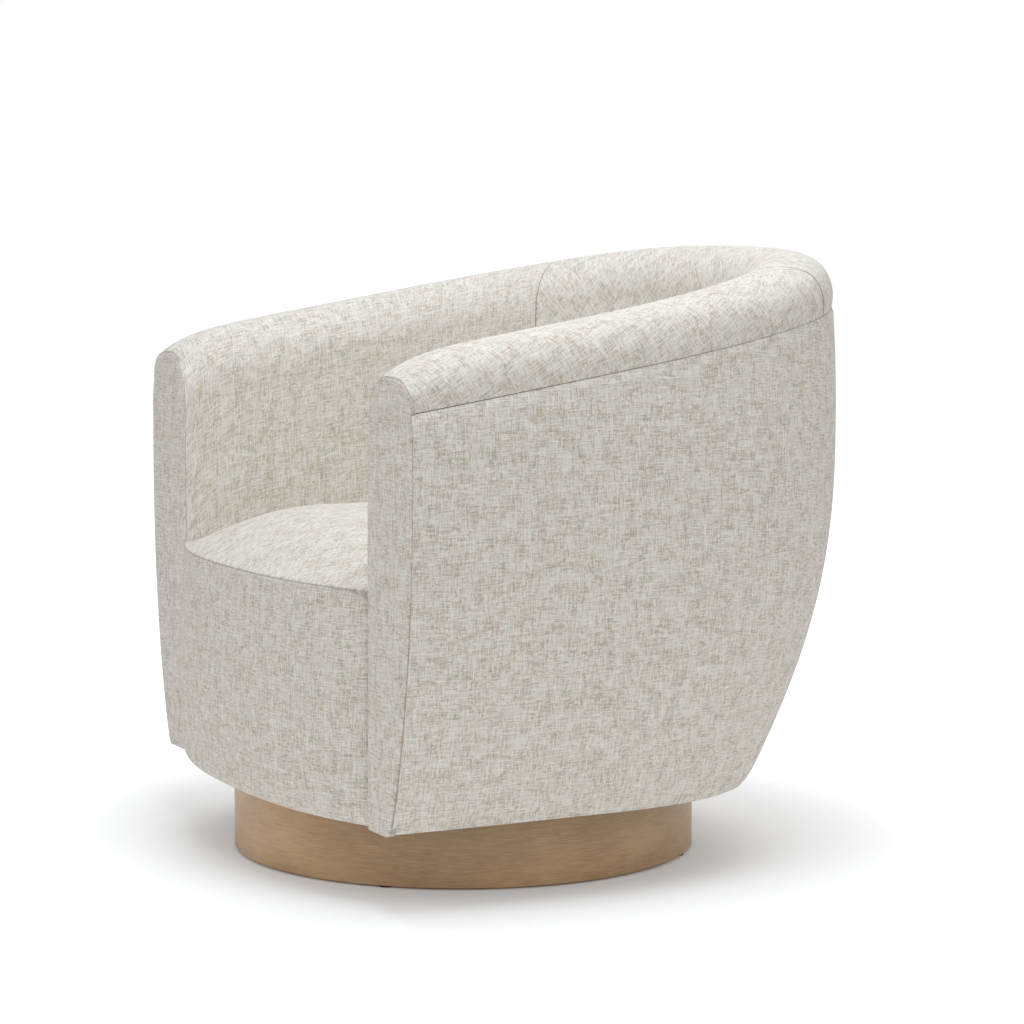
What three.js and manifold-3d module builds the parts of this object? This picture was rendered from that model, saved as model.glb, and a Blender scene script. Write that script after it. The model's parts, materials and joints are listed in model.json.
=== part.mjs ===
// Swivel barrel chair: an upholstered shell that turns on a round wooden plinth.
// Lengths are millimetres. Z is up from the floor, the sitter faces -Y, and +X is the sitter's left.
import * as THREE from 'three';
import { mergeGeometries, mergeVertices } from 'three/addons/utils/BufferGeometryUtils.js';
import Module from 'manifold-3d';

const wasm = await Module();
wasm.setup();

// Clearances
const seatGap = 0.3;
const panelGap = 0.6;

// Plan of the shell about the swivel axis, at its widest height
const shellHalfWidth = 405.1;
const shellBackReach = 449.2;
const shellTurnY = -13.1;
const shellPower = 2.438;
const armFrontY = -252.1;
const armToeIn = 8.3;

// Seam line under the roll, from the arm fronts to the back
const rollSeamFront = 553.6;
const rollSeamBack = 664.5;

// Outside of the shell: taper below the widest height, lean above it
const plinthTop = 82;
const plinthReveal = 8.7;
const frontBottomDrop = 2.7;
const shellBottom = plinthTop + plinthReveal;
const shellBottomFront = shellBottom - frontBottomDrop;
const widestDrop = 33.1;
const widestHeight = rollSeamFront - widestDrop;
const taperSide = 56.9;
const taperBack = 147.5;
const taperPower = 2.527;
const topLean = 4.7;

// Rolled top edge of the arms and back
const rollRiseFront = 58.6;
const rollRiseBack = 60.8;
const rollFrontDrop = 21.1;
const rollDropLength = 30;
const rollDropStepShare = 0.5;
const rollPeakOffset = 62.5;
const rollOverhang = 0.3;
const rollOuterPower = 2.836;
const rollInnerPower = 2.01;
const rollInnerDrop = 61.5;
const rollLip = 12;
const rollSeamDrop = 0.5;
const wallThickness = 111.9;
const insideRake = 10.7;
const insideRakeDrop = 126;

// Seams between arms and back, as shares of the length of the plan curve
const seamOuterShare = 0.323;
const seamInnerShare = 0.296;

// Padding
const insidePadThickness = 30;
const rollPadThickness = 28;
const outsidePanelThickness = 8;
const armFrontThickness = 6;
const armFrontEdge = 3;

// Seat
const seatFrontY = -253.8;
const seatBow = 49.3;
const seatBowPower = 2.525;
const seatSeamHeight = 354.6;
const seatCrown = 58.9;
const seatCrownPower = 3.331;
const seatRiseShare = 0.285;
const seatLip = 2.7;
const seatDrawIn = 4;
const borderThickness = 25;
const borderBulge = 8.5;
const borderEdgeRound = 6;
const borderFlare = 2.6;
const borderEdgePower = 12;

// Timber frame of the shell
const frameLift = 1;
const frameClearance = 2.8;
const jointGap = 0.8;
const railGap = 1.4;
const baseRailWidth = 70;
const baseRailThickness = 22;
const postWidth = 45;
const postDepth = 30;
const padClearance = 5.2;
const postInnerOffset = topLean + wallThickness - insidePadThickness - padClearance;
const seatRailThickness = 26;
const seatRailTop = 285;
const seatRailHeight = 45;
const seatRailOffset = 97;
const frontRailThickness = 22;
const topRailHeight = 25;
const mountingRailWidth = 90;
const mountingRailThickness = 30;
const wingPostShare = 0.27;
const backPostShare = 0.42;
const frameJointShare = 0.3;

// Sinuous springs under the seat
const springWire = 3.8;
const springWidth = 50;
const springPitch = 96;
const springArch = 6;
const springLead = 14;
const springPlaceShares = [-0.72, -0.25, 0.25, 0.72];

// Swivel: two square plates, two race rings and a caged row of balls
const plateSide = 250;
const plateCorner = 18;
const plateThickness = 3;
const plateBore = 40;
const raceEdge = 35;
const raceRadius = plateSide / 2 - raceEdge;
const raceWidth = 26;
const raceHeight = 6;
const raceGroove = 3;
const ballDiameter = 14;
const ballClearance = 0.35;
const cageWidth = 20;
const cageHeight = 2.4;
const ballCount = 12;
const boltEdge = 21;
const boltPlace = plateSide / 2 - boltEdge;
const boltShank = 8;
const boltHead = 18;
const boltHeadHeight = 4.5;
const boltNut = 15;
const boltNutHeight = 6;
const boltEnd = 2;
const screwShank = 5;
const screwHead = 10;
const screwHeadHeight = 2.6;
const screwLength = 16;
const screwEdge = 33;
const screwPlace = plateSide / 2 - screwEdge;
const fastenerClearance = 0.4;

// Plinth
const plinthDiameter = 558.8;
const plinthWall = 18;
const plinthEdge = 3;
const plinthBoardThickness = 18;
const blockDepth = 30;
const blockWidth = 68;
const blockLift = 10;
const glideDiameter = 16;
const glideHeight = 2;
const glideEdge = 0.5;

// Dust cover
const dustCoverThickness = 0.7;
const dustCoverMargin = 14;

// Facet counts
const outlineSamples = 720;
const wallFacets = 40;
const postFacets = 5;
const rollFacets = 7;
const borderFacets = 7;
const edgeFacets = 2;
const seatAcross = 18;
const seatAlong = 11;
const springFacets = 30;
const wireFacets = 5;
const roundFacets = 60;
const raceFacets = 60;
const boreFacets = 36;
const grooveFacets = 5;
const ballFacets = 7;
const cornerFacets = 4;
const boltFacets = 12;

const finishes = {
  fabric: { color: 0xe6dfd3, roughness: 0.95, metalness: 0 },
  timber: { color: 0xc9a878, roughness: 0.8, metalness: 0 },
  plinthWood: { color: 0x967d61, roughness: 0.5, metalness: 0 },
  steel: { color: 0x9a9da1, roughness: 0.4, metalness: 0.9 },
  glide: { color: 0x2b2927, roughness: 0.6, metalness: 0 },
  dustCloth: { color: 0x1f1f20, roughness: 0.95, metalness: 0 },
};

const chair = new THREE.Group();

function addPiece(name, geometry, finish) {
  const mesh = new THREE.Mesh(geometry, new THREE.MeshStandardMaterial(finishes[finish]));
  mesh.name = name;
  chair.add(mesh);
  return mesh;
}

function clamp(value, low, high) {
  return Math.min(Math.max(value, low), high);
}

// Plan curve, sampled from the left arm's front, round the back, to the right arm's front.
function sampleOutline() {
  const points = [];
  for (let i = 0; i < outlineSamples; i += 1) {
    const t = i / outlineSamples;
    points.push([shellHalfWidth - armToeIn * (1 - t) ** 2, armFrontY + (shellTurnY - armFrontY) * t]);
  }
  for (let i = 0; i <= outlineSamples; i += 1) {
    const turn = (Math.PI / 2) * (i / outlineSamples);
    points.push([
      shellHalfWidth * Math.cos(turn) ** (2 / shellPower),
      shellTurnY + shellBackReach * Math.sin(turn) ** (2 / shellPower),
    ]);
  }
  const rightHalf = points.slice(0, -1).reverse().map(([x, y]) => [-x, y]);
  const outline = points.concat(rightHalf);
  const lengths = [0];
  for (let i = 1; i < outline.length; i += 1) {
    const [x, y] = outline[i];
    const [xBefore, yBefore] = outline[i - 1];
    lengths.push(lengths[i - 1] + Math.hypot(x - xBefore, y - yBefore));
  }
  return { outline, lengths, total: lengths[lengths.length - 1] };
}

const plan = sampleOutline();

function pointOnPlan(share) {
  const goal = clamp(share, 0, 1) * plan.total;
  let high = plan.lengths.findIndex((length) => length >= goal);
  high = Math.max(high, 1);
  const [x0, y0] = plan.outline[high - 1];
  const [x1, y1] = plan.outline[high];
  const t = (goal - plan.lengths[high - 1]) / (plan.lengths[high] - plan.lengths[high - 1]);
  return [x0 + (x1 - x0) * t, y0 + (y1 - y0) * t];
}

// Place on the plan curve at a share of its length, with the outward direction there: straight
// sideways along the arms, square to the curve round the back.
function placeOnPlan(share) {
  const reach = 1 / outlineSamples;
  const [x, y] = pointOnPlan(share);
  if (y < shellTurnY) {
    return { x, y, nx: Math.sign(x), ny: 0 };
  }
  const [xa, ya] = pointOnPlan(share - reach);
  const [xb, yb] = pointOnPlan(share + reach);
  const length = Math.hypot(xb - xa, yb - ya);
  return { x, y, nx: (yb - ya) / length, ny: (xa - xb) / length };
}

const shellBackY = shellTurnY + shellBackReach;

function rollSeamHeight(place) {
  return THREE.MathUtils.mapLinear(place.y, armFrontY, shellBackY, rollSeamFront, rollSeamBack);
}

// Top of the roll as the timber under it runs, and as the cover rounds down at the arm's front.
function rollCrest(place) {
  const rise = THREE.MathUtils.mapLinear(place.y, armFrontY, shellBackY, rollRiseFront, rollRiseBack);
  return rollSeamHeight(place) + rise;
}

function rollTop(place) {
  return rollCrest(place) - rollFrontDrop * Math.exp((armFrontY - place.y) / rollDropLength);
}

// How far the outside stands in from the plan curve at a height.
function outsideInset(place, z) {
  const backness = clamp(place.ny, 0, 1) ** 2;
  const taper = taperSide + (taperBack - taperSide) * backness;
  const below = Math.max((widestHeight - z) / (widestHeight - shellBottom), 0);
  const above = Math.max(z - widestHeight, 0) / (rollSeamHeight(place) - widestHeight);
  return taper * below ** taperPower + topLean * above ** 2;
}

// Offset of the inside face from the plan curve at a height.
function insideOffset(place, z) {
  const drop = Math.max(rollTop(place) - rollInnerDrop - z, 0);
  const backness = clamp(place.ny, 0, 1);
  return topLean + wallThickness + (insideRake * backness * drop) / insideRakeDrop;
}

// Triangles that fill a flat outline, turned the way that the outline runs.
function capTriangles(flatOutline) {
  const outline = flatOutline.map(([u, v]) => new THREE.Vector2(u, v));
  const triangles = THREE.ShapeUtils.triangulateShape(outline, []);
  return THREE.ShapeUtils.isClockWise(outline) ? triangles.map((t) => t.reverse()) : triangles;
}

// A closed solid from rings of points, each ring with the same number of points, capped at both ends.
// Each cap takes its triangles from the flat outline of its own ring.
function loft(rings, firstOutline, lastOutline) {
  const geometry = skin(rings);
  const index = Array.from(geometry.index.array);
  const last = (rings.length - 1) * rings[0].length;
  capTriangles(firstOutline).forEach(([a, b, c]) => index.push(a, c, b));
  capTriangles(lastOutline).forEach(([a, b, c]) => index.push(last + a, last + b, last + c));
  return faceOut(geometry.setIndex(index));
}

// The open skin round a row of rings.
function skin(rings) {
  const count = rings[0].length;
  const index = [];
  for (let r = 0; r < rings.length - 1; r += 1) {
    for (let i = 0; i < count; i += 1) {
      const j = (i + 1) % count;
      const a = r * count + i;
      const b = r * count + j;
      const c = (r + 1) * count + j;
      const d = (r + 1) * count + i;
      index.push(a, b, c, a, c, d);
    }
  }
  const geometry = new THREE.BufferGeometry();
  geometry.setAttribute('position', new THREE.Float32BufferAttribute(rings.flat(2), 3));
  return geometry.setIndex(index);
}

// Turns the faces round where a solid's volume comes out negative.
function faceOut(geometry) {
  const position = geometry.getAttribute('position');
  const corner = [new THREE.Vector3(), new THREE.Vector3(), new THREE.Vector3()];
  const { array } = geometry.index;
  let volume = 0;
  for (let i = 0; i < array.length; i += 3) {
    corner.forEach((point, k) => point.fromBufferAttribute(position, array[i + k]));
    volume += corner[0].dot(corner[1].cross(corner[2]));
  }
  if (volume < 0) {
    for (let i = 0; i < array.length; i += 3) {
      [array[i + 1], array[i + 2]] = [array[i + 2], array[i + 1]];
    }
  }
  return geometry;
}

// Upright planes across the wall between two shares of the plan curve, where a wall piece has its rings.
// skew leans the first and the last plane to the line of the seams. moreShares are places of more rings.
function wallStations(from, to, skewFrom = 0, skewTo = 0, moreShares = []) {
  const steps = Math.ceil((to - from) * wallFacets);
  const shares = [...moreShares];
  for (let i = 0; i <= steps; i += 1) shares.push(from + ((to - from) * i) / steps);
  shares.sort((a, b) => a - b);
  return shares.map((share) => {
    const t = (share - from) / (to - from);
    const skew = skewFrom * (1 - t) ** 2 + skewTo * t ** 2;
    const outside = placeOnPlan(share);
    const inside = placeOnPlan(share + skew);
    return {
      outside,
      acrossX: (inside.x - outside.x) / wallThickness - inside.nx,
      acrossY: (inside.y - outside.y) / wallThickness - inside.ny,
      placeAt: (offset) => placeOnPlan(share + (skew * offset) / wallThickness),
    };
  });
}

// Plan point of a station at an offset inwards from the plan curve.
function stationPoint(station, offset) {
  return [station.outside.x + station.acrossX * offset, station.outside.y + station.acrossY * offset];
}

// A length of the wall. section(place) gives its outline as pairs of offset inwards and height.
function wallPiece(stations, section) {
  const outlines = stations.map((station) => {
    const outline = section(station.outside);
    return outline.map(([offset], i) => section(station.placeAt(offset))[i]);
  });
  const rings = stations.map((station, k) => {
    return outlines[k].map(([offset, z]) => [...stationPoint(station, offset), z]);
  });
  return loft(rings, outlines[0], outlines[outlines.length - 1]);
}

// Plan line through the stations at an offset inwards that depends on the place.
function wallLine(stations, offsetAt) {
  return stations.map((station) => {
    const offset = offsetAt(station.outside);
    return stationPoint(station, offsetAt(station.placeAt(offset)));
  });
}

// Value of one coordinate where the other has a given value, on a line whose points run in order.
function alongLine(line, known, value) {
  const wanted = 1 - known;
  for (let i = 1; i < line.length; i += 1) {
    const before = line[i - 1];
    const after = line[i];
    if ((before[known] - value) * (after[known] - value) <= 0 && before[known] !== after[known]) {
      const t = (value - before[known]) / (after[known] - before[known]);
      return before[wanted] + (after[wanted] - before[wanted]) * t;
    }
  }
  return line[0][wanted];
}

const alongX = 0;
const alongY = 1;

// Flat plate of a plan shape between two heights.
function plate(shape, bottom, top) {
  const depth = top - bottom;
  const options = { depth, bevelEnabled: false, curveSegments: cornerFacets };
  return new THREE.ExtrudeGeometry(shape, options).translate(0, 0, bottom);
}

function shapeThrough(points) {
  return new THREE.Shape(points.map(([x, y]) => new THREE.Vector2(x, y)));
}

function circlePoints(radius, facets, x = 0, y = 0) {
  const points = [];
  for (let i = 0; i < facets; i += 1) {
    const turn = (2 * Math.PI * i) / facets;
    points.push([x + radius * Math.cos(turn), y + radius * Math.sin(turn)]);
  }
  return points;
}

function holeThrough(points) {
  return new THREE.Path(points.map(([x, y]) => new THREE.Vector2(x, y)));
}

// Solid of revolution about an upright axis from pairs of radius and height.
function turned(profile, facets) {
  const points = profile.map(([radius, z]) => new THREE.Vector2(radius, z));
  return faceOut(new THREE.LatheGeometry(points, facets).rotateX(Math.PI / 2));
}

// Body of the manifold library from a geometry, for joins.
function solidOf(geometry) {
  const bare = geometry.clone();
  bare.deleteAttribute('normal');
  bare.deleteAttribute('uv');
  const merged = mergeVertices(bare);
  return new wasm.Manifold(new wasm.Mesh({
    numProp: 3,
    vertProperties: merged.attributes.position.array,
    triVerts: new Uint32Array(merged.index.array),
  }));
}

function geometryOf(solid) {
  const mesh = solid.getMesh();
  const geometry = new THREE.BufferGeometry();
  geometry.setAttribute('position', new THREE.Float32BufferAttribute(mesh.vertProperties, 3));
  geometry.setIndex(Array.from(mesh.triVerts));
  return geometry;
}

// Left piece as given, right piece as its mirror image.
function mirrored(geometry) {
  return faceOut(geometry.clone().scale(-1, 1, 1));
}

// Upholstered wall: pads, roll and outside panels

const frameBottom = shellBottom + frameLift;
const baseRailTop = frameBottom + baseRailThickness;
const seatDeckHeight = seatRailTop + springWire + springArch + 2 * seatGap;
const topRailTop = (place) => rollCrest(place) - rollPadThickness - railGap;
const topRailBottom = (place) => topRailTop(place) - topRailHeight;

function bottomHeight(place) {
  const t = clamp((place.y - armFrontY) / (shellTurnY - armFrontY), 0, 1);
  return shellBottomFront + (shellBottom - shellBottomFront) * t;
}

// Outside face as pairs of offset and height, from the bottom up to the seam under the roll.
const outsideLevelShares = [0, 0.2, 0.42, 0.68, 0.88, 1];

function outsideLevels(place) {
  const bottom = bottomHeight(place);
  const top = rollSeamHeight(place) - rollSeamDrop;
  return outsideLevelShares.map((levelShare) => {
    const z = bottom + (top - bottom) * levelShare;
    return [outsideInset(place, z), z];
  });
}

// The roll over the top: outer quarter from the outside seam, inner quarter down to the inside face.
function rollOutline(place) {
  const seam = rollSeamHeight(place);
  const top = rollTop(place);
  const points = [];
  for (let i = 0; i <= rollFacets; i += 1) {
    const turn = (Math.PI / 2) * (i / rollFacets);
    const reach = rollPeakOffset + rollOverhang;
    points.push([
      topLean - rollOverhang + reach * (1 - Math.cos(turn) ** (2 / rollOuterPower)),
      seam + (top - seam) * Math.sin(turn) ** (2 / rollOuterPower),
    ]);
  }
  for (let i = 1; i <= rollFacets; i += 1) {
    const turn = (Math.PI / 2) * (i / rollFacets);
    const reach = wallThickness - rollPeakOffset;
    points.push([
      topLean + rollPeakOffset + reach * Math.sin(turn) ** (2 / rollInnerPower),
      top - rollInnerDrop * (1 - Math.cos(turn) ** (2 / rollInnerPower)),
    ]);
  }
  return points;
}

// Inside pad with its share of the roll, hung over the top rail.
function insidePadSection(place) {
  const roll = rollOutline(place);
  const [lipOffset, seam] = roll[0];
  const under = rollCrest(place) - rollPadThickness;
  const middle = (under + seatDeckHeight) / 2;
  return [
    ...roll,
    [insideOffset(place, middle), middle],
    [insideOffset(place, seatDeckHeight), seatDeckHeight],
    [insideOffset(place, seatDeckHeight) - insidePadThickness, seatDeckHeight],
    [insideOffset(place, middle) - insidePadThickness, middle],
    [postInnerOffset + frameClearance, under],
    [lipOffset + rollLip, under],
    [lipOffset + rollLip, seam],
  ];
}

function outsidePanelSection(place) {
  const outer = outsideLevels(place);
  return [...outer, ...outer.map(([offset, z]) => [offset + outsidePanelThickness, z]).reverse()];
}

const shareOf = (length) => length / plan.total;
const armFrontShare = shareOf(armFrontThickness + seatGap);
const seamHalfGapShare = shareOf(panelGap / 2);
const seamSkewShare = seamInnerShare - seamOuterShare;
const armSpan = [armFrontShare, seamOuterShare - seamHalfGapShare];
const backSpan = [seamOuterShare + seamHalfGapShare, 1 - seamOuterShare - seamHalfGapShare];
const rollDropShares = [armFrontShare + shareOf(rollDropLength * rollDropStepShare)];
const padArm = wallStations(...armSpan, 0, seamSkewShare, rollDropShares);
const padBack = wallStations(...backSpan, seamSkewShare, -seamSkewShare);
const panelArm = wallStations(...armSpan);
const panelBack = wallStations(...backSpan);

function addPair(name, geometry, finish) {
  addPiece(`${name}_left`, geometry, finish);
  addPiece(`${name}_right`, mirrored(geometry), finish);
}

addPair('inside_arm_pad', wallPiece(padArm, insidePadSection), 'fabric');
addPiece('inside_back_pad', wallPiece(padBack, insidePadSection), 'fabric');
addPair('outside_arm_panel', wallPiece(panelArm, outsidePanelSection), 'fabric');
addPiece('outside_back_panel', wallPiece(panelBack, outsidePanelSection), 'fabric');

// Moves each point of a closed outline inwards, square to the outline.
function shrinkOutline(outline, distance) {
  const side = THREE.ShapeUtils.area(outline.map(([u, v]) => new THREE.Vector2(u, v))) > 0 ? 1 : -1;
  return outline.map(([u, v], i) => {
    const before = outline[(i + outline.length - 1) % outline.length];
    const after = outline[(i + 1) % outline.length];
    const length = Math.hypot(after[0] - before[0], after[1] - before[1]);
    return [
      u - (side * distance * (after[1] - before[1])) / length,
      v + (side * distance * (after[0] - before[0])) / length,
    ];
  });
}

// Front of an arm: the whole outline of the wall, with its front edge rounded over.
function armFront() {
  const depths = [];
  for (let i = 0; i <= edgeFacets; i += 1) {
    const turn = (Math.PI / 2) * (i / edgeFacets);
    depths.push([armFrontEdge * (1 - Math.cos(turn)), armFrontEdge * (1 - Math.sin(turn))]);
  }
  depths.push([armFrontThickness, 0]);
  const outlines = depths.map(([depth, inwards]) => {
    const place = placeOnPlan(shareOf(depth));
    const bottom = bottomHeight(place);
    const outer = outsideLevels(place).slice(0, -1);
    return shrinkOutline([...outer, ...rollOutline(place), [insideOffset(place, bottom), bottom]], inwards);
  });
  const rings = outlines.map((outline, k) => {
    const place = placeOnPlan(shareOf(depths[k][0]));
    return outline.map(([offset, z]) => [place.x - offset, place.y, z]);
  });
  return loft(rings, outlines[0], outlines[outlines.length - 1]);
}

addPair('arm_front_panel', armFront(), 'fabric');

// Seat: crowned cushion over the deck, and the border in front of it

const seatFrontHalfWidth = placeOnPlan(0).x - insideOffset(placeOnPlan(0), seatSeamHeight) - seatGap;
const seatHalfWidth = shellHalfWidth - topLean - wallThickness - seatGap;

// Front line of the seat at a share of its half width.
function seatFrontAt(share) {
  return seatFrontY - seatBow * (1 - Math.min(Math.abs(share), 1) ** seatBowPower);
}

function seatHalfWidthAt(y) {
  const t = clamp((y - armFrontY) / (shellTurnY - armFrontY), 0, 1);
  return seatFrontHalfWidth + (seatHalfWidth - seatFrontHalfWidth) * (1 - (1 - t) ** 2);
}

// Line of the inside face at a height, from the left arm's front to the middle of the back.
function insideLine(z) {
  const offsetAt = (place) => insideOffset(place, z) + panelGap;
  const back = padBack.slice(0, padBack.length / 2 + 1);
  return [...wallLine(padArm, offsetAt), ...wallLine(back, offsetAt)];
}

// Point of the seat by its shares across and along, drawn in from the front, the sides and the back.
function seatPlanPoint(across, along, z, fromFront, fromRim) {
  const reach = Math.max(Math.abs(across) * seatHalfWidth, seatGap);
  const front = seatFrontAt(across) + fromFront;
  const rear = alongLine(insideLine(z), alongX, reach) - fromRim;
  const y = front + (rear - front) * along;
  const halfWidth = Math.min(seatHalfWidthAt(y), seatHalfWidth) - fromRim;
  return [across * halfWidth, y];
}

function seatCrownAt(across, along) {
  const rise = 1 - (1 - Math.min(along / seatRiseShare, 1)) ** 2;
  return seatCrown * (1 - Math.abs(across) ** seatCrownPower) * rise;
}

// Shares across the seat, closer together towards its sides.
function acrossShare(i) {
  return Math.sin(((i / seatAcross) * 2 - 1) * (Math.PI / 2));
}

// Point of one layer of the seat. A layer without a height of its own follows the crown.
function seatPoint(i, j, layer) {
  const across = acrossShare(i);
  const along = j / seatAlong;
  const z = layer.height ?? seatSeamHeight + seatCrownAt(across, along);
  return [...seatPlanPoint(across, along, z, layer.fromFront, layer.fromRim), z];
}

function seatRim(layer) {
  const rim = [];
  for (let i = 0; i < seatAcross; i += 1) rim.push(seatPoint(i, 0, layer));
  for (let j = 0; j < seatAlong; j += 1) rim.push(seatPoint(seatAcross, j, layer));
  for (let i = seatAcross; i > 0; i -= 1) rim.push(seatPoint(i, seatAlong, layer));
  for (let j = seatAlong; j > 0; j -= 1) rim.push(seatPoint(0, j, layer));
  return rim;
}

// Upper or lower face of the seat as a grid, with its faces turned up or down.
function seatFace(layer, faceUp) {
  const positions = [];
  const index = [];
  for (let j = 0; j <= seatAlong; j += 1) {
    for (let i = 0; i <= seatAcross; i += 1) positions.push(...seatPoint(i, j, layer));
  }
  for (let j = 0; j < seatAlong; j += 1) {
    for (let i = 0; i < seatAcross; i += 1) {
      const a = j * (seatAcross + 1) + i;
      const b = a + 1;
      const c = b + seatAcross + 1;
      const d = a + seatAcross + 1;
      index.push(...(faceUp ? [a, b, c, a, c, d] : [a, c, b, a, d, c]));
    }
  }
  const geometry = new THREE.BufferGeometry();
  geometry.setAttribute('position', new THREE.Float32BufferAttribute(positions, 3));
  return geometry.setIndex(index);
}

// Foam block under a crowned cover whose front edge laps over the border's top.
function seatCushion() {
  const behindBorder = borderThickness + seatGap;
  const deck = { height: seatDeckHeight, fromFront: behindBorder, fromRim: seatDrawIn };
  const neck = { height: seatSeamHeight - seatLip, fromFront: behindBorder, fromRim: seatDrawIn };
  const lip = { height: seatSeamHeight - seatLip, fromFront: 0, fromRim: 0 };
  const crown = { fromFront: 0, fromRim: 0 };
  const sides = skin([deck, neck, lip, crown].map(seatRim));
  return mergeVertices(mergeGeometries([sides, seatFace(deck, false), seatFace(crown, true)]));
}

addPiece('seat_cushion', seatCushion(), 'fabric');

// Border: bowed in plan, bulging at mid height, rounded back into the crevices at the arms.
function borderRing(across) {
  const bottom = shellBottomFront;
  const top = seatSeamHeight - seatLip - seatGap;
  const side = Math.abs(across) ** borderEdgePower;
  const front = seatFrontAt(across);
  const x = across * seatFrontHalfWidth;
  const ring = [];
  for (let k = 0; k <= borderFacets; k += 1) {
    const rise = k / borderFacets;
    const forward = borderBulge * Math.sin(Math.PI * rise) * (1 - side) + borderFlare * (1 - rise);
    ring.push([x, front - forward + borderEdgeRound * side, bottom + (top - bottom) * rise]);
  }
  ring.push([x, front + borderThickness, top], [x, front + borderThickness, bottom]);
  return ring;
}

function frontBorder() {
  const rings = [];
  for (let i = 0; i <= seatAcross; i += 1) rings.push(borderRing(acrossShare(i)));
  const outline = (ring) => ring.map(([, y, z]) => [y, z]);
  return loft(rings, outline(rings[0]), outline(rings[seatAcross]));
}

addPiece('front_border', frontBorder(), 'fabric');

// Timber frame

const frameFrontY = Math.max(armFrontY + armFrontThickness, seatFrontY + borderThickness) + seatGap;
const frameStartShare = shareOf(frameFrontY - armFrontY);

// Offset that clears the outside panel at a height, with the panel's flat facets allowed for.
function behindPanel(place, z) {
  const levels = outsideLevels(place);
  const height = Math.min(z, levels[levels.length - 1][1]);
  return alongLine(levels, alongY, height) + outsidePanelThickness + frameClearance;
}

function baseRailSection(place) {
  const outer = behindPanel(place, frameBottom);
  const inner = outer + baseRailWidth;
  return [[outer, frameBottom], [outer, baseRailTop], [inner, baseRailTop], [inner, frameBottom]];
}

// Outer face of the seat rails, which pass inside the posts.
function seatRailOuter(place) {
  const postFace = alongLine(postOuter(place), alongY, seatRailTop - seatRailHeight);
  return Math.max(seatRailOffset, postInner(postFace) + frameClearance);
}

function seatRailSection(place) {
  const outer = seatRailOuter(place);
  const inner = outer + seatRailThickness;
  const bottom = seatRailTop - seatRailHeight;
  return [[outer, bottom], [outer, seatRailTop], [inner, seatRailTop], [inner, bottom]];
}

// Back of the lip that the roll's cover turns in over the outside panel.
function lipInner(place) {
  return rollOutline(place)[0][0] + rollLip;
}

function topRailSection(place) {
  const outer = lipInner(place) + frameClearance;
  const top = topRailTop(place);
  const bottom = topRailBottom(place);
  return [[outer, bottom], [outer, top], [postInnerOffset, top], [postInnerOffset, bottom]];
}

// Upright sawn to the taper of the wall, from the base rail to the top rail.
function postInner(outerOffset) {
  return Math.max(outerOffset + postDepth, postInnerOffset);
}

function postOuter(place) {
  const bottom = baseRailTop + seatGap;
  const top = topRailBottom(place) - railGap;
  const step = (top - bottom) / postFacets;
  const outer = [];
  for (let k = 0; k <= postFacets; k += 1) {
    const z = bottom + step * k;
    const behindLip = z + step > rollSeamHeight(place) ? lipInner(place) + frameClearance : 0;
    outer.push([Math.max(behindPanel(place, z), behindLip), z]);
  }
  return outer;
}

function postSection(place) {
  const outer = postOuter(place);
  const inner = outer.map(([offset, z]) => [postInner(offset), z]);
  return [...outer, ...inner.reverse()];
}

const frameArm = wallStations(frameStartShare, frameJointShare - seamHalfGapShare);
const frameBack = wallStations(frameJointShare + seamHalfGapShare, 1 - frameJointShare - seamHalfGapShare);
addPair('base_rail', wallPiece(frameArm, baseRailSection), 'timber');
addPiece('base_rail_back', wallPiece(frameBack, baseRailSection), 'timber');
const frontRailY = Math.max(seatFrontY + borderThickness + jointGap, frameFrontY);
const seatRailY = frontRailY + frontRailThickness + seatGap;
const seatRailStartShare = shareOf(seatRailY - armFrontY);
const seatRailArm = wallStations(seatRailStartShare, frameJointShare - seamHalfGapShare);
addPair('seat_rail', wallPiece(seatRailArm, seatRailSection), 'timber');
addPiece('seat_rail_back', wallPiece(frameBack, seatRailSection), 'timber');
addPair('top_rail', wallPiece(padArm, topRailSection), 'timber');
addPiece('top_rail_back', wallPiece(padBack, topRailSection), 'timber');

const postShare = shareOf(postWidth);
const postStarts = {
  arm_post: armFrontShare,
  wing_post: wingPostShare - postShare,
  back_post: backPostShare - postShare / 2,
};
for (const [name, start] of Object.entries(postStarts)) {
  addPair(name, wallPiece(wallStations(start, start + postShare), postSection), 'timber');
}

// Boards behind the border: the bottom one lies flat, the seat rail stands on it.
const boardFront = borderThickness + jointGap;

// Front line of the boards: behind the border, and behind the arm fronts beside it.
function boardLineAt(x) {
  const y = seatFrontAt(x / seatFrontHalfWidth) + boardFront;
  return Math.abs(x) < seatFrontHalfWidth ? y : Math.max(y, frameFrontY);
}

function boardLine(halfWidth) {
  const places = [-halfWidth, halfWidth];
  for (let i = 0; i <= seatAcross; i += 1) {
    const x = acrossShare(i) * seatFrontHalfWidth;
    if (Math.abs(x) < halfWidth) places.push(x);
  }
  places.sort((a, b) => a - b);
  return places.map((x) => [x, boardLineAt(x)]);
}

function bowedBoard(halfWidth, depth, rearLimit) {
  const front = boardLine(halfWidth);
  const rear = front.map(([x, y]) => [x, Math.min(y + depth, rearLimit)]).reverse();
  return shapeThrough([...front, ...rear]);
}

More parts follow.
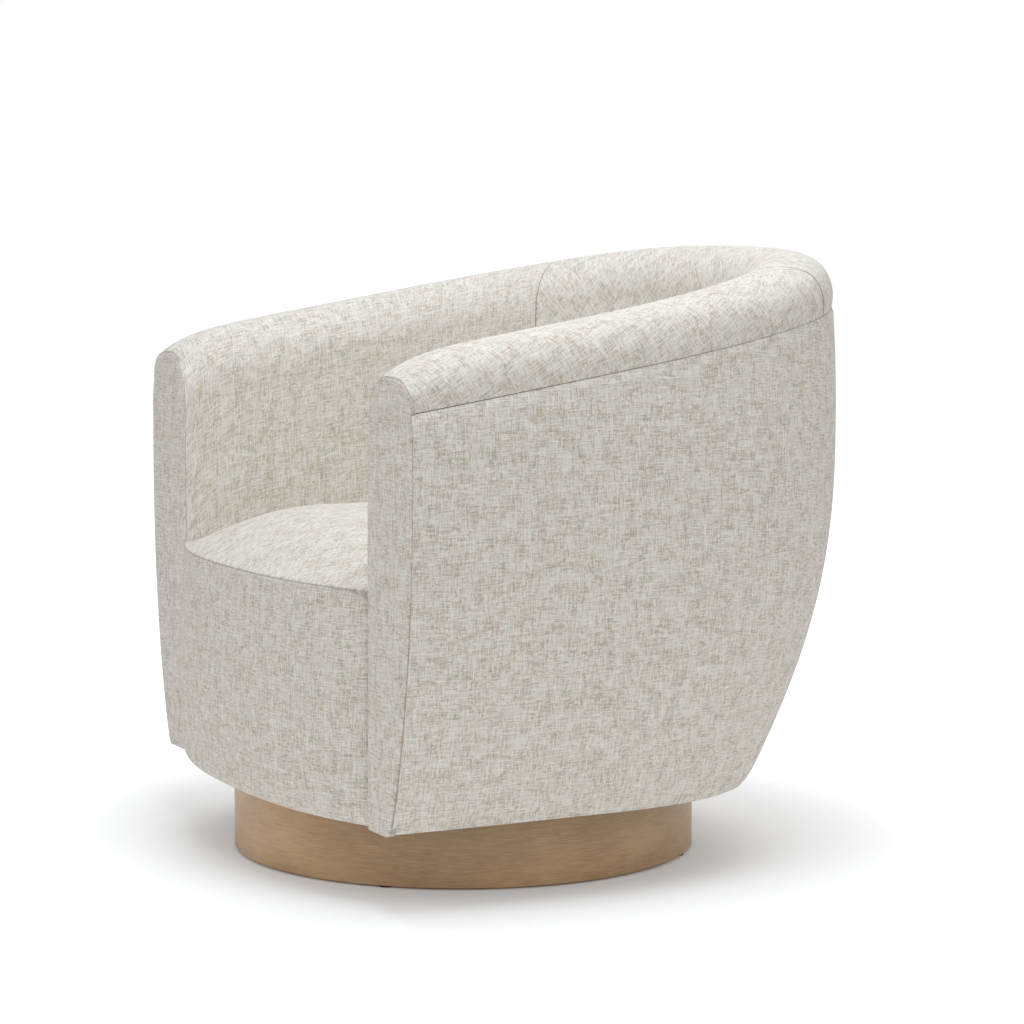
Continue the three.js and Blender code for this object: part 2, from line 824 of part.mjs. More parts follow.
const mountingRailFrontY = -boltPlace - mountingRailWidth / 2 - seatGap;
const baseRailInner = (place) => behindPanel(place, frameBottom) + baseRailWidth + seatGap;
const frameBackHalf = frameBack.slice(0, Math.ceil(frameBack.length / 2));
const baseRailInside = wallLine([...frameArm, ...frameBackHalf], baseRailInner);
const baseFrontHalf = alongLine(baseRailInside, alongY, frameFrontY);
const postInside = wallLine(frameArm, (place) => postInner(behindPanel(place, baseRailTop)));
const seatFrontHalf = alongLine(postInside, alongY, frameFrontY) - jointGap;
addPiece(
  'base_rail_front',
  plate(bowedBoard(baseFrontHalf, baseRailWidth, mountingRailFrontY), frameBottom, baseRailTop),
  'timber',
);
addPiece(
  'seat_rail_front',
  plate(
    bowedBoard(seatFrontHalf, frontRailThickness, seatRailY - seatGap),
    baseRailTop + seatGap,
    seatRailTop,
  ),
  'timber',
);

// Swivel and plinth heights, from the frame down to the plinth's board
const dustCoverTop = frameBottom - seatGap;
const upperPlateTop = dustCoverTop - dustCoverThickness - seatGap;
const upperPlateBottom = upperPlateTop - plateThickness;
const upperRaceTop = upperPlateBottom - seatGap;
const ballTop = upperRaceTop - raceHeight + raceGroove - ballClearance;
const ballCentre = ballTop - ballDiameter / 2;
const lowerRaceTop = ballCentre - ballDiameter / 2 - ballClearance + raceGroove;
const lowerPlateTop = lowerRaceTop - raceHeight - seatGap;
const lowerPlateBottom = lowerPlateTop - plateThickness;
const boardTop = lowerPlateBottom - seatGap;
const boardBottom = boardTop - plinthBoardThickness;

const corners = [[1, -1], [1, 1], [-1, 1], [-1, -1]];
const cornerNames = ['front_left', 'back_left', 'back_right', 'front_right'];

function boltHoles(place, diameter, signs = corners) {
  const radius = diameter / 2 + fastenerClearance;
  return signs.map(([sx, sy]) => holeThrough(circlePoints(radius, boltFacets, sx * place, sy * place)));
}

// Mounting rails: flat boards between the side rails, bolted to the upper plate. The rear one stays in
// front of the back rail where that comes round behind the bolts.
const mountingRailRearY = alongLine(baseRailInside, alongX, boltPlace + boltEdge);
for (const [name, side] of [['front', -1], ['rear', 1]]) {
  const near = side * boltPlace - mountingRailWidth / 2;
  const far = Math.min(near + mountingRailWidth, mountingRailRearY);
  const leftEnd = [near, (near + far) / 2, far].map((y) => [alongLine(baseRailInside, alongY, y), y]);
  const rightEnd = leftEnd.map(([x, y]) => [-x, y]).reverse();
  const rail = shapeThrough([...leftEnd, ...rightEnd]);
  rail.holes = boltHoles(boltPlace, boltShank, corners.filter(([, sy]) => sy === side));
  const geometry = plate(rail, frameBottom, frameBottom + mountingRailThickness);
  addPiece(`mounting_rail_${name}`, geometry, 'timber');
}

function squarePlate(holes) {
  const half = plateSide / 2;
  const inner = half - plateCorner;
  const shape = new THREE.Shape();
  shape.absarc(inner, -inner, plateCorner, -Math.PI / 2, 0);
  shape.absarc(inner, inner, plateCorner, 0, Math.PI / 2);
  shape.absarc(-inner, inner, plateCorner, Math.PI / 2, Math.PI);
  shape.absarc(-inner, -inner, plateCorner, Math.PI, (3 * Math.PI) / 2);
  shape.holes = [holeThrough(circlePoints(plateBore, boreFacets)), ...holes];
  return shape;
}

// Race ring with a groove round its ball side. side is 1 with the groove on top, -1 with it below.
function raceRing(grooveFace, side) {
  const back = grooveFace - side * raceHeight;
  const radius = ballDiameter / 2 + ballClearance;
  const profile = [[raceRadius - raceWidth / 2, back], [raceRadius - raceWidth / 2, grooveFace]];
  const reach = Math.acos((radius - raceGroove) / radius);
  for (let i = 0; i <= grooveFacets; i += 1) {
    const turn = reach * ((2 * i) / grooveFacets - 1);
    const depth = radius * Math.cos(turn) - (radius - raceGroove);
    profile.push([raceRadius + radius * Math.sin(turn), grooveFace - side * depth]);
  }
  profile.push([raceRadius + raceWidth / 2, grooveFace], [raceRadius + raceWidth / 2, back], profile[0]);
  return turned(profile, raceFacets);
}

function ballCage() {
  const inner = raceRadius - cageWidth / 2;
  const outer = raceRadius + cageWidth / 2;
  const low = ballCentre - cageHeight / 2;
  const high = ballCentre + cageHeight / 2;
  const profile = [[inner, low], [outer, low], [outer, high], [inner, high], [inner, low]];
  let cage = solidOf(turned(profile, raceFacets));
  for (let i = 0; i < ballCount; i += 1) {
    const turn = (2 * Math.PI * i) / ballCount;
    const ball = new THREE.SphereGeometry(ballDiameter / 2, ballFacets, ballFacets).rotateX(Math.PI / 2);
    ball.translate(raceRadius * Math.cos(turn), raceRadius * Math.sin(turn), ballCentre);
    cage = cage.add(solidOf(ball));
  }
  return geometryOf(cage);
}

const upperPlate = squarePlate(boltHoles(boltPlace, boltShank));
const lowerPlate = squarePlate(boltHoles(screwPlace, screwShank));
addPiece('swivel_upper_plate', plate(upperPlate, upperPlateBottom, upperPlateTop), 'steel');
addPiece('upper_race_ring', raceRing(upperRaceTop - raceHeight, -1), 'steel');
addPiece('ball_cage', ballCage(), 'steel');
addPiece('lower_race_ring', raceRing(lowerRaceTop, 1), 'steel');
addPiece('swivel_lower_plate', plate(lowerPlate, lowerPlateBottom, lowerPlateTop), 'steel');

// Bolt with its nut: head on the mounting rail, nut under the upper plate.
function swivelBolt() {
  const headBottom = frameBottom + mountingRailThickness + seatGap;
  const nutTop = upperPlateBottom - seatGap;
  const nutBottom = nutTop - boltNutHeight;
  return turned([
    [0, nutBottom - boltEnd],
    [boltShank / 2, nutBottom - boltEnd],
    [boltShank / 2, nutBottom],
    [boltNut / 2, nutBottom],
    [boltNut / 2, nutTop],
    [boltShank / 2, nutTop],
    [boltShank / 2, headBottom],
    [boltHead / 2, headBottom],
    [boltShank / 2, headBottom + boltHeadHeight],
    [0, headBottom + boltHeadHeight],
  ], boltFacets);
}

function plateScrew() {
  const headBottom = lowerPlateTop + seatGap;
  return turned([
    [0, headBottom - screwLength],
    [screwShank / 2, headBottom - screwLength + screwShank],
    [screwShank / 2, headBottom],
    [screwHead / 2, headBottom],
    [screwShank / 2, headBottom + screwHeadHeight],
    [0, headBottom + screwHeadHeight],
  ], boltFacets);
}

corners.forEach(([sx, sy], i) => {
  const bolt = swivelBolt().translate(sx * boltPlace, sy * boltPlace, 0);
  const screw = plateScrew().translate(sx * screwPlace, sy * screwPlace, 0);
  addPiece(`swivel_bolt_${cornerNames[i]}`, bolt, 'steel');
  addPiece(`plate_screw_${cornerNames[i]}`, screw, 'steel');
});

// Plinth: bent wall, board let into its top, glue blocks under the board, glides under the wall.
const plinthRadius = plinthDiameter / 2;
const plinthInside = plinthRadius - plinthWall;
const plinthFlatInside = plinthInside * Math.cos(Math.PI / roundFacets);

function plinthRing() {
  const bottom = glideHeight;
  const profile = [[plinthInside, plinthTop], [plinthInside, bottom]];
  for (let i = 0; i <= 2 * edgeFacets; i += 1) {
    const turn = (Math.PI / 2) * (i / (2 * edgeFacets));
    profile.push([
      plinthRadius - plinthEdge * (1 - Math.sin(turn)),
      bottom + plinthEdge * (1 - Math.cos(turn)),
    ]);
  }
  profile.push([plinthRadius, plinthTop], profile[0]);
  return turned(profile, roundFacets);
}

function glueBlock(turn) {
  const outer = plinthFlatInside - seatGap;
  const spread = blockWidth / 2 / outer;
  const points = [];
  for (let i = 0; i <= 2 * edgeFacets; i += 1) {
    const angle = turn + spread * (i / edgeFacets - 1);
    points.push([outer * Math.cos(angle), outer * Math.sin(angle)]);
  }
  for (const angle of [turn + spread, turn - spread]) {
    points.push([(outer - blockDepth) * Math.cos(angle), (outer - blockDepth) * Math.sin(angle)]);
  }
  return plate(shapeThrough(points), glideHeight + blockLift, boardBottom - seatGap);
}

function floorGlide(turn) {
  const radius = glideDiameter / 2;
  const top = glideHeight - seatGap;
  const place = plinthRadius - plinthWall / 2;
  const profile = [[0, 0], [radius - glideEdge, 0], [radius, glideEdge], [radius, top], [0, top]];
  return turned(profile, boltFacets).translate(place * Math.cos(turn), place * Math.sin(turn), 0);
}

const board = shapeThrough(circlePoints(plinthFlatInside - seatGap, roundFacets));
board.holes = boltHoles(screwPlace, screwShank);
addPiece('plinth_wall', plinthRing(), 'plinthWood');
addPiece('plinth_top_board', plate(board, boardBottom, boardTop), 'timber');
corners.forEach(([sx, sy], i) => {
  const turn = Math.atan2(sy, sx);
  addPiece(`plinth_block_${cornerNames[i]}`, glueBlock(turn), 'timber');
  addPiece(`floor_glide_${cornerNames[i]}`, floorGlide(turn), 'glide');
});

// Sinuous springs from the front seat rail to the back one.
class SpringLine extends THREE.Curve {
  constructor(x, front, rear) {
    super();
    this.x = x;
    this.front = front;
    this.rear = rear;
    this.waves = Math.max(Math.round((rear - front - 2 * springLead) / springPitch), 1);
  }

  getPoint(t, target = new THREE.Vector3()) {
    const y = this.front + (this.rear - this.front) * t;
    const lead = springLead / (this.rear - this.front);
    const along = clamp((t - lead) / (1 - 2 * lead), 0, 1);
    const sway = ((springWidth - springWire) / 2) * Math.sin(2 * Math.PI * this.waves * along);
    const z = seatRailTop + seatGap + springWire / 2 + springArch * Math.sin(Math.PI * along);
    return target.set(this.x + sway, y, z);
  }
}

const wire = shapeThrough(circlePoints(springWire / 2, wireFacets));
const seatRailMiddle = wallLine(frameBack, (place) => seatRailOuter(place) + seatRailThickness / 2);
springPlaceShares.forEach((placeShare, i) => {
  const x = placeShare * seatFrontHalfWidth;
  const front = seatFrontAt(placeShare) + boardFront + frontRailThickness / 2;
  const rear = alongLine(seatRailMiddle, alongX, x);
  const path = new SpringLine(x, front, rear);
  const geometry = new THREE.ExtrudeGeometry(wire, { steps: springFacets, extrudePath: path });
  addPiece(`seat_spring_${i + 1}`, geometry, 'steel');
});

// Dust cover: a cloth sheet under the frame, with holes for the swivel bolts.
const coverRim = (place) => behindPanel(place, frameBottom) + dustCoverMargin;
const coverHalf = wallLine([...frameArm, ...frameBackHalf], coverRim);
const coverFront = boardLine(coverHalf[0][0]).map(([x, y]) => [x, y + dustCoverMargin]);
const coverBack = coverHalf.map(([x, y]) => [-x, y]).reverse();
const cover = shapeThrough([...coverFront, ...coverHalf.slice(1), ...coverBack.slice(0, -1)]);
cover.holes = boltHoles(boltPlace, boltShank);
addPiece('dust_cover', plate(cover, dustCoverTop - dustCoverThickness, dustCoverTop), 'dustCloth');

// The origin lies on the floor under the middle of the chair's length and width.
const box = new THREE.Box3().setFromObject(chair);
chair.position.y = -(box.min.y + box.max.y) / 2;

export default chair;
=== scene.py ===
# Swivel barrel chair: the looks around the fixed frame. Lengths are metres, Z is up, the sitter faces -Y.
import json
import math

import bmesh
import bpy
import numpy as np
from mathutils import Matrix, Vector


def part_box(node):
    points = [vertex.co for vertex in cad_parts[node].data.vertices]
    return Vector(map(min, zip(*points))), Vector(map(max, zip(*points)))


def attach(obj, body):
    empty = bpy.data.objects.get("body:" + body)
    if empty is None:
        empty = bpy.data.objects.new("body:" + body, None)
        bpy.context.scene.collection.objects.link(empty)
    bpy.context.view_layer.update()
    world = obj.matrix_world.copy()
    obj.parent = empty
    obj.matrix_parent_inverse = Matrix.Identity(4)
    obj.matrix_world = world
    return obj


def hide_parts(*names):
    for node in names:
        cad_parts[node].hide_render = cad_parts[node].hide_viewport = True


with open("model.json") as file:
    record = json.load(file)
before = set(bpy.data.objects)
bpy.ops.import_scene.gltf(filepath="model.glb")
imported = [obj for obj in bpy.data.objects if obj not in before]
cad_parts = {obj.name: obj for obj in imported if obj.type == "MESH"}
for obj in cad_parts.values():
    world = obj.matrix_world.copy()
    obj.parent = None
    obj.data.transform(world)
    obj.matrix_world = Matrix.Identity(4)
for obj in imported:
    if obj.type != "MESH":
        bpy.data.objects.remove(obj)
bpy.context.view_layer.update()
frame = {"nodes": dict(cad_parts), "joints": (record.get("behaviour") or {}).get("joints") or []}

swivel = next(joint for joint in frame["joints"] if joint["name"] == "swivel")
AXIS_Y = swivel["pos_m"][1]

# Plan of the shell about the swivel axis, at its widest height
SHELL_HALF_WIDTH = 0.4051
SHELL_BACK_REACH = 0.4492
SHELL_TURN_Y = -0.0131
SHELL_POWER = 2.438
ARM_FRONT_Y = -0.2521
ARM_TOE_IN = 0.0083
PLAN_SAMPLES = 720

# Seam line under the roll, and the outside below and above the widest height
ROLL_SEAM_FRONT = 0.5536
ROLL_SEAM_BACK = 0.6645
SHELL_BOTTOM = 0.0907
SHELL_BOTTOM_FRONT = 0.0880
WIDEST_HEIGHT = 0.5205
TAPER_SIDE = 0.0569
TAPER_BACK = 0.1475
TAPER_POWER = 2.527
TOP_LEAN = 0.0047

# Rolled top edge of the arms and back
ROLL_RISE_FRONT = 0.0586
ROLL_RISE_BACK = 0.0608
ROLL_FRONT_DROP = 0.0211
ROLL_DROP_LENGTH = 0.0300
ROLL_PEAK_OFFSET = 0.0625
ROLL_OVERHANG = 0.0003
ROLL_OUTER_POWER = 2.836
ROLL_INNER_POWER = 2.01
ROLL_INNER_DROP = 0.0615
WALL_THICKNESS = 0.1119
INSIDE_RAKE = 0.0107
INSIDE_RAKE_DROP = 0.126

# Seams between arms and back, as shares of the length of the plan curve
SEAM_OUTER_SHARE = 0.323
SEAM_INNER_SHARE = 0.296

# Points nearer than the first are one point, and heights nearer than the second are level
SAME_PLACE = 1e-6
LEVEL = 1e-5

# Padding
PANEL_GAP = 0.0001
SEAT_GAP = 0.0003
SEAT_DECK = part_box("seat_cushion")[0].z
INSIDE_PAD_THICKNESS = 0.026
OUTSIDE_PANEL_THICKNESS = 0.0075
ARM_FRONT_THICKNESS = 0.006

# How a cover turns in at a rim: how far from it that starts, how deep it goes, and whether it rounds over
SEAM_TURN = (0.0032, 0.0019, True)
ROLL_TURN = (0.0180, 0.0022, False)
PANEL_TURN = (0.0080, 0.0022, False)
HEM_TURN = (0.0340, 0.0066, True)
LIP_TURN = (0.0012, 0.0007, True)
LEAST_THICKNESS = 0.0005

# Added to the distance from a rim, so that the painted shade in its seam shows less: the near seam over the
# roll, the other seams between arms and back, the seams round the panels and the seat, and a rim that isn't
# sewn, which gets no painted shade
STRONG = 0.0
PLAIN = 0.0013
FAINT = 0.0016
UNSEWN = 1.0

# Seat and its border
SEAT_FRONT_Y = -0.2538
SEAT_BOW = 0.0493
SEAT_BOW_POWER = 2.525
SEAT_SEAM = 0.3546
SEAT_CROWN = 0.0589
SEAT_CROWN_POWER = 3.331
SEAT_RISE_SHARE = 0.285
SEAT_CLOTH_DEPTH = 0.62
SEAT_BASE_ROOM = 0.001
SEAT_EDGE_TURN = (0.0080, 0.0012, False)
SEAT_FRONT_TURN = (0.0030, 0.0009, False)
BORDER_THICKNESS = 0.025
BORDER_BULGE = 0.0085
BORDER_EDGE_ROUND = 0.0060
BORDER_FLARE = 0.0026
BORDER_EDGE_POWER = 12
BORDER_TOP_DROP = 0.0015
BORDER_SIDE_TURN = (0.0100, 0.0034, True)
BORDER_HEM_TURN = (0.0140, 0.0140, True)
BORDER_TOP_TURN = (0.0030, 0.0009, False)

# Spacing of the cloth's mesh
CLOTH_SPACING = 0.0060

# How each cover is cut from the linen: degrees that its cloth is turned, and its place on the bolt in metres
CLOTH_CUTS = {
    "inside_arm_cover_left": (24, (0, 0)),
    "inside_arm_cover_right": (0, (3.1, 1.7)),
    "inside_back_cover": (45, (0, 0)),
    "outside_arm_cover_left": (0, (7.3, 2.9)),
    "outside_arm_cover_right": (0, (9.6, 8.8)),
    "outside_back_cover": (0, (7.3, 2.9)),
    "arm_front_cover_left": (0, (1.9, 6.6)),
    "arm_front_cover_right": (0, (4.7, 6.1)),
    "seat_cover": (45, (9.1, 3.3)),
    "border_cover": (0, (5.5, 8.8)),
}


def no_selection():
    """Leaves edit mode and deselects everything, so that the next operator acts on its own piece alone."""
    if bpy.context.object and bpy.context.object.mode != "OBJECT":
        bpy.ops.object.mode_set(mode="OBJECT")
    for thing in bpy.context.selected_objects:
        thing.select_set(False)


# The plan curve, from the left arm's front, round the back, to the right arm's front

def plan_line():
    """Points of the plan curve, and the length along it to each."""
    t = np.linspace(0, 1, PLAN_SAMPLES, endpoint=False)
    arm_x = SHELL_HALF_WIDTH - ARM_TOE_IN * (1 - t) ** 2
    arm_y = ARM_FRONT_Y + (SHELL_TURN_Y - ARM_FRONT_Y) * t
    turn = np.linspace(0, math.pi / 2, PLAN_SAMPLES + 1)
    back_x = SHELL_HALF_WIDTH * np.clip(np.cos(turn), 0, 1) ** (2 / SHELL_POWER)
    back_y = SHELL_TURN_Y + SHELL_BACK_REACH * np.sin(turn) ** (2 / SHELL_POWER)
    left = np.stack([np.append(arm_x, back_x), np.append(arm_y, back_y)], 1)
    line = np.concatenate([left, left[-2::-1] * (-1, 1)])
    lengths = np.append(0, np.cumsum(np.linalg.norm(np.diff(line, axis=0), axis=1)))
    return line, lengths


PLAN, PLAN_LENGTHS = plan_line()
PLAN_TOTAL = PLAN_LENGTHS[-1]
SHELL_BACK_Y = SHELL_TURN_Y + SHELL_BACK_REACH


class Place:
    """Points of the plan curve at shares of its length, with the outward directions there."""

    def __init__(self, share):
        self.x, self.y = self.point(share)
        reach = 1 / PLAN_SAMPLES
        before, after = self.point(share - reach), self.point(share + reach)
        along = np.hypot(after[0] - before[0], after[1] - before[1])
        on_arm = self.y < SHELL_TURN_Y
        self.nx = np.where(on_arm, np.sign(self.x), (after[1] - before[1]) / along)
        self.ny = np.where(on_arm, 0, (before[0] - after[0]) / along)

    @staticmethod
    def point(share):
        goal = np.clip(share, 0, 1) * PLAN_TOTAL
        return np.interp(goal, PLAN_LENGTHS, PLAN[:, 0]), np.interp(goal, PLAN_LENGTHS, PLAN[:, 1])


def between(y, front, back):
    """A height that runs evenly from the arm fronts to the back."""
    return front + (back - front) * (y - ARM_FRONT_Y) / (SHELL_BACK_Y - ARM_FRONT_Y)


def roll_seam(place):
    """Height of the seam under the roll."""
    return between(place.y, ROLL_SEAM_FRONT, ROLL_SEAM_BACK)


def roll_top(place):
    """Height of the roll's top, which dips towards the arm fronts."""
    crest = roll_seam(place) + between(place.y, ROLL_RISE_FRONT, ROLL_RISE_BACK)
    return crest - ROLL_FRONT_DROP * np.exp((ARM_FRONT_Y - place.y) / ROLL_DROP_LENGTH)


def bottom_height(place):
    """Height of the hem, a little lower at the arm fronts."""
    t = np.clip((place.y - ARM_FRONT_Y) / (SHELL_TURN_Y - ARM_FRONT_Y), 0, 1)
    return SHELL_BOTTOM_FRONT + (SHELL_BOTTOM - SHELL_BOTTOM_FRONT) * t


def outside_inset(place, z):
    """How far the outside stands in from the plan curve at a height."""
    backness = np.clip(place.ny, 0, 1) ** 2
    taper = TAPER_SIDE + (TAPER_BACK - TAPER_SIDE) * backness
    below = np.clip((WIDEST_HEIGHT - z) / (WIDEST_HEIGHT - SHELL_BOTTOM), 0, None)
    above = np.clip(z - WIDEST_HEIGHT, 0, None) / (roll_seam(place) - WIDEST_HEIGHT)
    return taper * below ** TAPER_POWER + TOP_LEAN * above ** 2


def inside_offset(place, z):
    """Offset of the inside face from the plan curve at a height."""
    drop = np.clip(roll_top(place) - ROLL_INNER_DROP - z, 0, None)
    backness = np.clip(place.ny, 0, 1)
    return TOP_LEAN + WALL_THICKNESS + INSIDE_RAKE * backness * drop / INSIDE_RAKE_DROP


# Sections of the wall: pairs of offset inwards and height, q running along the section

def roll_section(place, q):
    """The roll: q 0 to 1 is its outer quarter, 1 to 2 its inner quarter."""
    seam, top = roll_seam(place), roll_top(place)
    outer = np.clip(q, 0, 1) * math.pi / 2
    inner = np.clip(q - 1, 0, 1) * math.pi / 2
    outer_cos, inner_cos = np.clip(np.cos(outer), 0, 1), np.clip(np.cos(inner), 0, 1)
    offset = TOP_LEAN - ROLL_OVERHANG + (
        (ROLL_PEAK_OFFSET + ROLL_OVERHANG) * (1 - outer_cos ** (2 / ROLL_OUTER_POWER))
        + (WALL_THICKNESS - ROLL_PEAK_OFFSET) * np.sin(inner) ** (2 / ROLL_INNER_POWER)
    )
    z = seam + (top - seam) * np.sin(outer) ** (2 / ROLL_OUTER_POWER)
    return offset, z - ROLL_INNER_DROP * (1 - inner_cos ** (2 / ROLL_INNER_POWER))


def inside_section(place, q):
    """The roll, then from q 2 to 3 the inside face down to the seat deck."""
    offset, z = roll_section(place, q)
    face = np.clip(q - 2, 0, 1)
    low = z + (SEAT_DECK - z) * face
    return np.where(q > 2, inside_offset(place, low), offset), low


def outside_section(place, q):
    """The outside face: q 0 to 1 runs from the bottom up to the seam under the roll."""
    bottom = bottom_height(place)
    z = bottom + (roll_seam(place) - PANEL_GAP - bottom) * q
    return outside_inset(place, z), z


# Grids of points, rounded over at their rims

def spaced(length, spacing, start_round, end_round, steps=4, more=()):
    """Distances along a length, close together where its two ends round over, and at the places in more."""
    near = 1 - np.cos(np.linspace(0, math.pi / 2, steps + 1))
    count = max(2, round((length - start_round - end_round) / spacing))
    middle = np.linspace(start_round, length - end_round, count + 1)[1:-1]
    places = np.concatenate([start_round * near, more, middle, length - end_round * near[::-1]])
    return np.unique(places)


def turned_in(distance, turn):
    """How far a surface falls back at a distance from its rim."""
    reach, depth, rounded = turn
    near = np.clip(1 - distance / reach, 0, 1) ** 2
    return depth * (1 - np.sqrt(1 - near) if rounded else near)


def grid_normals(points):
    """Unit normals of a grid of points, outwards where its rows and columns run as the wall's do."""
    along, across = np.gradient(points, axis=0), np.gradient(points, axis=1)
    normal = np.cross(along, across)
    return normal / np.linalg.norm(normal, axis=2, keepdims=True)


class WallGrid:
    """Points of a length of the wall: rows along the plan curve, columns along the section."""

    def __init__(self, shares, skew, section, q, turns, more=()):
        """skew leans the ends to the seams. turns are the turns at the rims: both ends, first and last
        column. more are distances along it for more rows."""
        start, end = shares
        length = (end - start) * PLAN_TOTAL
        reach = [turn[0] for turn in turns]

        # Rows along the plan curve, each with a dense line of points across the wall
        self.u = spaced(length, CLOTH_SPACING, reach[0], reach[1], more=more)
        t = self.u / length
        share = start + (end - start) * t
        lean = (skew[0] * (1 - t) ** 2 + skew[1] * t ** 2)[:, None]
        outside = Place(share[:, None])
        inside = Place(share[:, None] + lean)
        first_offset = section(outside, q)[0]
        offset, z = section(Place(share[:, None] + lean * first_offset / WALL_THICKNESS), q)
        across_x = (inside.x - outside.x) / WALL_THICKNESS - inside.nx
        across_y = (inside.y - outside.y) / WALL_THICKNESS - inside.ny
        dense = np.stack([outside.x + across_x * offset, outside.y + across_y * offset, z], 2)

        # Columns at the same shares of every row's length
        steps = np.linalg.norm(np.diff(dense, axis=1), axis=2)
        along = np.concatenate([np.zeros((len(share), 1)), np.cumsum(steps, 1)], 1)
        mean = along[:, -1].mean()
        columns = spaced(mean, CLOTH_SPACING, reach[2], reach[3]) / mean
        self.v = along[:, -1:] * columns
        self.points = np.stack([
            np.stack([np.interp(v, row, line[:, k]) for k in range(3)], 1)
            for v, row, line in zip(self.v, along, dense)
        ])
        self.length = length
        self.turns = turns
        self.share = share
        self.normals = grid_normals(self.points)

    def drop(self):
        """How far the face that shows turns in towards the four rims."""
        first, last, low, high = self.turns
        ends = np.maximum(turned_in(self.u, first), turned_in(self.length - self.u, last))[:, None]
        sides = np.maximum(turned_in(self.v, low), turned_in(self.v[:, -1:] - self.v, high))
        return np.minimum(np.hypot(ends, sides), max(turn[1] for turn in self.turns))

    def behind(self, depth):
        """The grid's points moved inwards."""
        return self.points - self.normals * depth[:, :, None]

    def rim(self, seams):
        """Distance of each point from the nearest seam, which sets the painted shade there. seams say how
        faint the painted shade is in the four rims' seams.
        """
        ends = self.u[:, None] + 0 * self.v
        rims = (ends, self.length - ends, self.v, self.v[:, -1:] - self.v)
        return np.minimum.reduce([far + faint for far, faint in zip(rims, seams)])

    def weave(self):
        """Flat cloth coordinates in metres: along the plan curve and along the section."""
        u = np.broadcast_to((self.share * PLAN_TOTAL)[:, None], self.v.shape)
        return np.stack([u, self.v], 2)


def closed_grid(outer, inner):
    """Points and faces of a closed pad between an outer and an inner grid of the same size."""
    rows, columns = outer.shape[:2]
    points = np.concatenate([outer.reshape(-1, 3), inner.reshape(-1, 3)])
    index = np.arange(rows * columns).reshape(rows, columns)
    quads = np.stack([index[:-1, :-1], index[1:, :-1], index[1:, 1:], index[:-1, 1:]], 2).reshape(-1, 4)
    below = rows * columns
    rim = np.concatenate([index[0, :-1], index[:-1, -1], index[-1, :0:-1], index[:0:-1, 0]])
    after = np.roll(rim, -1)
    walls = np.stack([rim, after, after + below, rim + below], 1)
    return points, np.concatenate([quads, quads[:, ::-1] + below, walls])


def cut_cloth(name, flat):
    """Places on the linen of a cover's flat cloth coordinates."""
    degrees, start = CLOTH_CUTS[name]
    turn = math.radians(degrees)
    return flat @ np.array([[math.cos(turn), -math.sin(turn)], [math.sin(turn), math.cos(turn)]]) + start


def cover_from(name, points, faces, flat, rim):
    """A cover from points about the swivel axis. flat are its cloth coordinates, which become its UV map,
    and rim is the distance of each point from a seam, which the painted seam shade reads."""
    mesh = bpy.data.meshes.new(name)
    placed = points + (0, AXIS_Y, 0)
    mesh.from_pydata(placed.tolist(), [], faces.tolist())
    layer = mesh.uv_layers.new(name="weave")
    corner = np.empty(len(mesh.loops), np.int32)
    mesh.loops.foreach_get("vertex_index", corner)
    weave = cut_cloth(name, flat)
    layer.data.foreach_set("uv", weave[corner].astype(np.float32).ravel())
    mesh.attributes.new("rim", "FLOAT", "POINT").data.foreach_set("value", rim.astype(np.float32))
    work = bmesh.new()
    work.from_mesh(mesh)
    bmesh.ops.remove_doubles(work, verts=work.verts, dist=SAME_PLACE)
    bmesh.ops.recalc_face_normals(work, faces=work.faces)
    work.to_mesh(mesh)
    work.free()
    mesh.shade_smooth()
    cover = bpy.data.objects.new(name, mesh)
    bpy.context.scene.collection.objects.link(cover)
    return cover


def mirrored(points):
    """The same points on the right side of the chair."""
    return points * (-1, 1, 1)


# Covers of the wall

# Places across the wall from which the columns are worked out
INSIDE_Q = np.concatenate([np.linspace(0, 2, 240), np.linspace(2, 3, 60)[1:]])
OUTSIDE_Q = np.linspace(0, 1, 200)

# Thin lip in which an arm cover ends, over the edge of the arm's front
LIP_START = 0.0006
LIP_THICKNESS = 0.0010
LIP_STEP = 0.0004
LIP_DEPTH = ARM_FRONT_THICKNESS + SEAT_GAP - LIP_START
LIP_ROWS = (LIP_DEPTH, LIP_DEPTH + LIP_STEP)

# Shares of the plan curve that the covers take
ARM_START = LIP_START / PLAN_TOTAL
HALF_GAP = PANEL_GAP / 2 / PLAN_TOTAL
SEAM_SKEW = SEAM_INNER_SHARE - SEAM_OUTER_SHARE
ARM_SPAN = (ARM_START, SEAM_OUTER_SHARE - HALF_GAP)
BACK_SPAN = (SEAM_OUTER_SHARE + HALF_GAP, 1 - SEAM_OUTER_SHARE - HALF_GAP)


def pad_from(grid, thickness, lip=False):
    """A pad of one thickness, with or without the lip at its first end."""
    depth = np.full(len(grid.u), thickness)
    if lip:
        depth[grid.u <= LIP_DEPTH] = LIP_THICKNESS
    drop = grid.drop()
    return closed_grid(grid.behind(drop), grid.behind(np.maximum(depth[:, None], drop + LEAST_THICKNESS)))


def both(values):
    """The values of a grid, for its outer and for its inner face."""
    flat = values.reshape(values.shape[0] * values.shape[1], *values.shape[2:])
    return np.concatenate([flat, flat])


